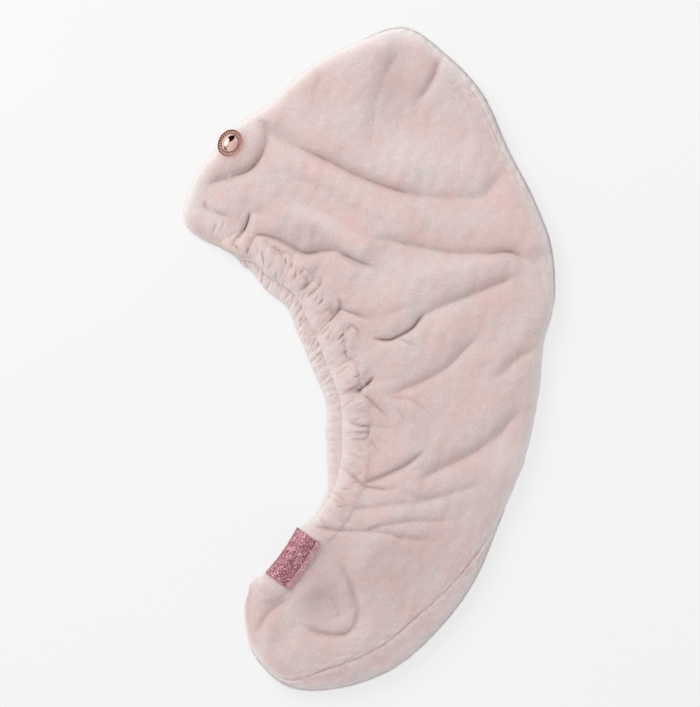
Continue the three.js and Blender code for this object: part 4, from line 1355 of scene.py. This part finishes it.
def ring_profile():
    """The reeded ring, from its inner foot up, out over the reeds and down."""
    foot, top = CUP_FLOOR + GAP, BUTTON_HEIGHT - 0.4
    middle = (RING_IN + RING_OUT) / 2
    return [
        (RING_IN, foot, 0), (RING_IN, top - 0.5, 0), (RING_IN + 0.2, top - 0.15, 0),
        (RING_IN + 0.4, top, 1), (RING_IN + 0.8, top + 0.1, 1), (middle, top + 0.15, 1),
        (RING_OUT - 0.8, top + 0.05, 1), (RING_OUT - 0.3, top - 0.1, 1), (RING_OUT - 0.1, top - 0.4, 0),
        (RING_OUT, top - 0.8, 0), (RING_OUT, foot, 0),
    ]


def dome_profile():
    """The dome, from the middle of its foot out, and up over the top."""
    foot, spring, radius = CUP_FLOOR + GAP, BUTTON_HEIGHT - 0.9, RING_IN - GAP
    angles = np.linspace(0, math.pi / 2, DOME_STEPS)
    dome = [(max(radius * math.cos(a), AXIS), spring + DOME_RISE * math.sin(a), 0) for a in angles]
    return [(AXIS, foot, 0), (radius, foot, 0), *dome]


def fibre_mesh(name, points, count, finish, weight):
    """Fibres rooted at random places of a grid surface, each a thin closed spike.

    Its four faces lie side by side in a square of its own on the map.
    """
    rng = np.random.default_rng(NAP_SEED + len(name))
    normals = -grid_normals(points)
    corner = points[:-1, :-1]
    area = np.linalg.norm(np.cross(points[1:, :-1] - corner, points[:-1, 1:] - corner), axis=-1)
    bare = in_label(corner[..., 0], corner[..., 1]) & (normals[:-1, :-1, 2] > 0)
    chance = (area * weight(normals[:-1, :-1]) * ~bare).ravel()
    total = np.cumsum(chance)
    cell = np.searchsorted(total, rng.uniform(0, total[-1], count))
    i, k = np.unravel_index(cell, area.shape)
    a, b = rng.uniform(0, 1, (2, count, 1))
    near, far = mix(points[i, k], points[i + 1, k], a), mix(points[i, k + 1], points[i + 1, k + 1], a)
    root = mix(near, far, b)
    normal = normals[i, k]
    way = normal + np.array(FIBRE_LEAN) + FIBRE_SCATTER * rng.normal(0, 1, (count, 3))
    way /= np.linalg.norm(way, axis=1, keepdims=True)
    side = np.cross(way, rng.normal(0, 1, (count, 3)))
    side /= np.linalg.norm(side, axis=1, keepdims=True)
    other = np.cross(way, side)
    length = FIBRE_LENGTH * rng.uniform(*FIBRE_LENGTHS, (count, 1))
    root = root - FIBRE_ROOT * normal
    corners = [root + way * length]
    for turn in (0, 2 * math.pi / 3, 4 * math.pi / 3):
        corners.append(root + FIBRE_RADIUS * (side * math.cos(turn) + other * math.sin(turn)))
    spikes = np.stack(corners, axis=1).reshape(-1, 3)
    spikes[:, 2] = np.maximum(spikes[:, 2], FIBRE_FLOOR)
    faces = np.array([(0, 1, 2), (0, 2, 3), (0, 3, 1), (1, 3, 2)])
    faces = (4 * np.arange(count)[:, None, None] + faces[None]).reshape(-1, 3)
    across = math.ceil(math.sqrt(count))
    cells = np.stack([np.arange(count) % across, np.arange(count) // across], axis=-1)
    tip, low, right, high = (0.3, 0.35), (0.05, 0.05), (0.6, 0.1), (0.3, 0.9)
    base = ((0.65, 0.1), (0.95, 0.9), (0.95, 0.1))
    flat = np.array([(tip, low, right), (tip, right, high), (tip, high, low), base])
    chart = ((cells[:, None, None, :] + flat[None]) / across).reshape(-1, 2)
    return add_mesh(name, spikes, faces, finish, fields={"tip": np.tile(FIBRE_PALE, count)}, chart=chart)


def on_top(normal):
    """Fibres all over a face, and more where it turns down."""
    return 1 + MORE_FIBRES * (1 - np.abs(normal[..., 2]))


def on_edge(normal):
    """Fibres where a face stands upright, and few elsewhere."""
    return FEW_FIBRES + EDGE_FIBRES * (1 - np.abs(normal[..., 2])) * (normal[..., 2] > -0.3)


class TowelSettings(bpy.types.PropertyGroup):
    """What a user may change of the towel."""

    fold_height: FloatProperty(
        name="Fold height", description="Height of the folds, as a share of the photographed ones",
        default=1.0, min=0, max=1.5, subtype="FACTOR",
    )
    gather_depth: FloatProperty(
        name="Gather depth", description="Height of the gathers along the hems, in millimetres",
        default=2.2, min=0, max=4,
    )
    sheen: FloatProperty(
        name="Pile sheen", description="Strength of the pale edge light of the pile",
        default=0.35, min=0, max=1, subtype="FACTOR",
    )
    fibres: IntProperty(
        name="Fibres", description="Loose fibres on the front. The back's edge has half as many, "
        "and each hem a quarter",
        default=45000, min=400, max=49000,
    )


def towel():
    return bpy.context.scene.towel_settings


def fit(piece, slot, *nodes):
    """Rides a piece on the towel, in the place of its CAD nodes, and hides those nodes. The slot is not
    used.
    """
    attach(piece, "root")
    if nodes:
        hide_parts(*nodes)


def plush():
    """The plush, made once for all its pieces."""
    return bpy.data.materials.get("plush_cut_pile") or plush_material(towel())


class TOWEL_OT_panels(bpy.types.Operator):
    """Build the front and back panels"""

    bl_idname = "towel.panels"
    bl_label = "Panels"
    bl_options = {"REGISTER", "UNDO"}

    def execute(self, context):
        fit(add_sheet("plush_front", *front_surface(towel()), plush()), "plush", "front_panel")
        back = add_sheet("plush_back", *back_surface(towel()), plush())
        fit(back, "plush", "back_panel", "back_panel_edge")
        return {"FINISHED"}


class TOWEL_OT_hems(bpy.types.Operator):
    """Build the two gathered elastic hems"""

    bl_idname = "towel.hems"
    bl_label = "Hems"
    bl_options = {"REGISTER", "UNDO"}

    def execute(self, context):
        front = add_tube("gathered_front_hem", *front_hem_surface(towel()), plush())
        fit(front, "plush", "front_hem")
        back = add_tube("gathered_back_hem", *back_hem_surface(towel()), plush())
        fit(back, "plush", "back_hem")
        return {"FINISHED"}


class TOWEL_OT_label(bpy.types.Operator):
    """Fold the glitter label over the hem and sew it down"""

    bl_idname = "towel.label"
    bl_label = "Label"
    bl_options = {"REGISTER", "UNDO"}

    def execute(self, context):
        points, fields = label_surface()
        rings, caps = slab(points, LABEL_THICKNESS)
        both = {name: np.concatenate([v, v[:, ::-1]], axis=1) for name, v in fields.items()}
        label = add_tube("glitter_label", rings, both, glitter_material(), caps)
        fit(label, "glitter_label", "label")

        over = np.linspace(LABEL_FOLD, LABEL_WIDTH, LABEL_COLUMNS + 1)
        column = np.abs(past_seam(over)).argmin()
        line = points[:, column - LABEL_COLUMNS - 1] + (0, 0, STITCH_LIFT)
        tubes = thread_stitches(line)
        count, rows, columns = tubes.shape[:3]
        faces = grid_faces(rows, columns, closed=True)
        faces = (faces[None] + rows * columns * np.arange(count)[:, None, None]).reshape(-1, 4)
        thread = add_mesh("label_stitches", tubes.reshape(-1, 3), faces, thread_material())
        fit(thread, "glitter_label")
        return {"FINISHED"}


class TOWEL_OT_button(bpy.types.Operator):
    """Turn the cup, the reeded ring and the dome of the button"""

    bl_idname = "towel.button"
    bl_label = "Button"
    bl_options = {"REGISTER", "UNDO"}

    def execute(self, context):
        cast = metal_material("rose_gold_cast", "#CFA39C", 0.2, 0.1)
        reeded = metal_material("rose_gold_reeded", "#E3BFB5", 0.2, 0.1)
        polished = metal_material("rose_gold_polished", "#EAC4BA", 0.06, 0.05)
        cup = add_tube("button_cast_cup", *turned(cup_profile()), cast)
        ring = add_hoop("button_reeded_ring", *turned(ring_profile()), reeded)
        dome = add_tube("button_polished_dome", *turned(dome_profile()), polished)
        fit(cup, "rose_gold", "button_cup")
        fit(ring, "rose_gold", "button_ring")
        fit(dome, "rose_gold", "button_dome")
        return {"FINISHED"}


class TOWEL_OT_nap(bpy.types.Operator):
    """Stand loose fibres along the plush"""

    bl_idname = "towel.nap"
    bl_label = "Nap"
    bl_options = {"REGISTER", "UNDO"}

    def execute(self, context):
        front, back, front_hem, back_hem = (
            surface(towel())[0]
            for surface in (front_surface, back_surface, front_hem_surface, back_hem_surface)
        )
        count = towel().fibres
        for name, points, number, weight in (
            ("nap_front", front, count, on_top),
            ("nap_back", back[:, FLOOR_STEPS:], count // 2, on_edge),
            ("nap_front_hem", front_hem, count // 4, on_top),
            ("nap_back_hem", back_hem, count // 4, on_top),
        ):
            fit(fibre_mesh(name, points, number, plush(), weight), "plush")
        return {"FINISHED"}


class TOWEL_OT_cloth(bpy.types.Operator):
    """An empty step: it leaves the pieces as they are"""

    bl_idname = "towel.cloth"
    bl_label = "Cloth sizes"
    bl_options = {"REGISTER", "UNDO"}

    def execute(self, context):
        return {"FINISHED"}


def studio_world():
    """An even sky for the cloth, and for the metal a room with two black cards and a light box."""
    world = bpy.data.worlds.new("studio")
    world.use_nodes = True
    tree = world.node_tree
    way = add_node(tree, "ShaderNodeTexCoord").outputs["Generated"]
    height = add_node(tree, "ShaderNodeSeparateXYZ", {"Vector": way}).outputs["Z"]
    room = blended(tree, tuned(tree, height, *ROOM_WALL_RISE), linear("#6E6462"), ROOM_WALL)
    room = blended(tree, tuned(tree, height, *ROOM_CEILING_RISE), room, ROOM_CEILING)
    for row in ROOM:
        thing = named(ROOM_COLUMNS, row)
        near = add_node(tree, "ShaderNodeVectorMath", {
            0: way, 1: Vector(thing.place).normalized(),
        }, operation="DOT_PRODUCT").outputs["Value"]
        room = blended(tree, tuned(tree, near, thing.edge, thing.edge + PATCH_BLUR), room, thing.colour)
    glossy = add_node(tree, "ShaderNodeLightPath").outputs["Is Glossy Ray"]
    sky = tree.nodes["Background"]
    tree.links.new(blended(tree, glossy, linear("#F9FAFD"), room), sky.inputs["Color"])
    sky.inputs["Strength"].default_value = SKY_STRENGTH
    return world


class TOWEL_OT_stage(bpy.types.Operator):
    """Set the light table, the lamps and the camera"""

    bl_idname = "towel.stage"
    bl_label = "Stage"
    bl_options = {"REGISTER", "UNDO"}

    def execute(self, context):
        scene = context.scene
        half = FLOOR_SIZE / 2 / MM
        corners = np.array([(-half, -half), (half, -half), (half, half), (-half, half)])
        points = np.column_stack([corners, np.full(4, -FLOOR_DROP)])
        floor = add_mesh("backdrop", points, np.array([[0, 1, 2, 3]]), backdrop_material())

        scene.world = studio_world()
        scene.view_settings.view_transform = "Standard"

        lamp = bpy.data.lights.new("key", "AREA")
        lamp.size = KEY_SIZE
        lamp.energy = KEY_POWER
        lamp.color = linear("#FFFDFB")[:3]
        key = bpy.data.objects.new("key", lamp)
        key.location = KEY_PLACE
        key.rotation_euler = (-Vector(KEY_PLACE)).to_track_quat("-Z", "Y").to_euler()
        scene.collection.objects.link(key)
        lit = bpy.data.collections.new("lit by the key lamp")
        for piece in scene.objects:
            if piece.type == "MESH" and not piece.name.startswith("button"):
                lit.objects.link(piece)
        key.light_linking.receiver_collection = lit
        key.light_linking.blocker_collection = lit

        lens = bpy.data.cameras.new("camera")
        lens.sensor_width = SENSOR
        height = CAMERA_HEIGHT - FOCUS_LEVEL * MM
        lens.lens = SENSOR * height / (max(VIEW_WIDTH, VIEW_HEIGHT) * PIXEL * MM)
        lens.clip_end = CAMERA_REACH
        camera = bpy.data.objects.new("camera", lens)
        camera.location = (VIEW_MIDDLE[0] * MM, VIEW_MIDDLE[1] * MM, CAMERA_HEIGHT)
        scene.collection.objects.link(camera)
        scene.camera = camera
        return {"FINISHED"}


class TOWEL_PT_build(bpy.types.Panel):
    """Lists the towel's sizes and its pieces"""

    bl_idname = "TOWEL_PT_build"
    bl_label = "Hair towel"
    bl_space_type = "VIEW_3D"
    bl_region_type = "UI"
    bl_category = "Towel"

    def draw(self, context):
        for name in TowelSettings.__annotations__:
            self.layout.prop(context.scene.towel_settings, name)
        for operator in OPERATORS:
            self.layout.operator(operator.bl_idname)


OPERATORS = (
    TOWEL_OT_panels, TOWEL_OT_hems, TOWEL_OT_label, TOWEL_OT_button, TOWEL_OT_nap, TOWEL_OT_stage,
    TOWEL_OT_cloth,
)
CLASSES = (TowelSettings, *OPERATORS, TOWEL_PT_build)


def register():
    for kind in CLASSES:
        bpy.utils.register_class(kind)
    bpy.types.Scene.towel_settings = PointerProperty(type=TowelSettings)


def unregister():
    del bpy.types.Scene.towel_settings
    for kind in reversed(CLASSES):
        bpy.utils.unregister_class(kind)


def main():
    register()
    bpy.ops.towel.panels()
    bpy.ops.towel.hems()
    bpy.ops.towel.label()
    bpy.ops.towel.button()
    bpy.ops.towel.nap()
    bpy.ops.towel.stage()
    bpy.ops.towel.cloth()


if __name__ == "__main__":
    main()
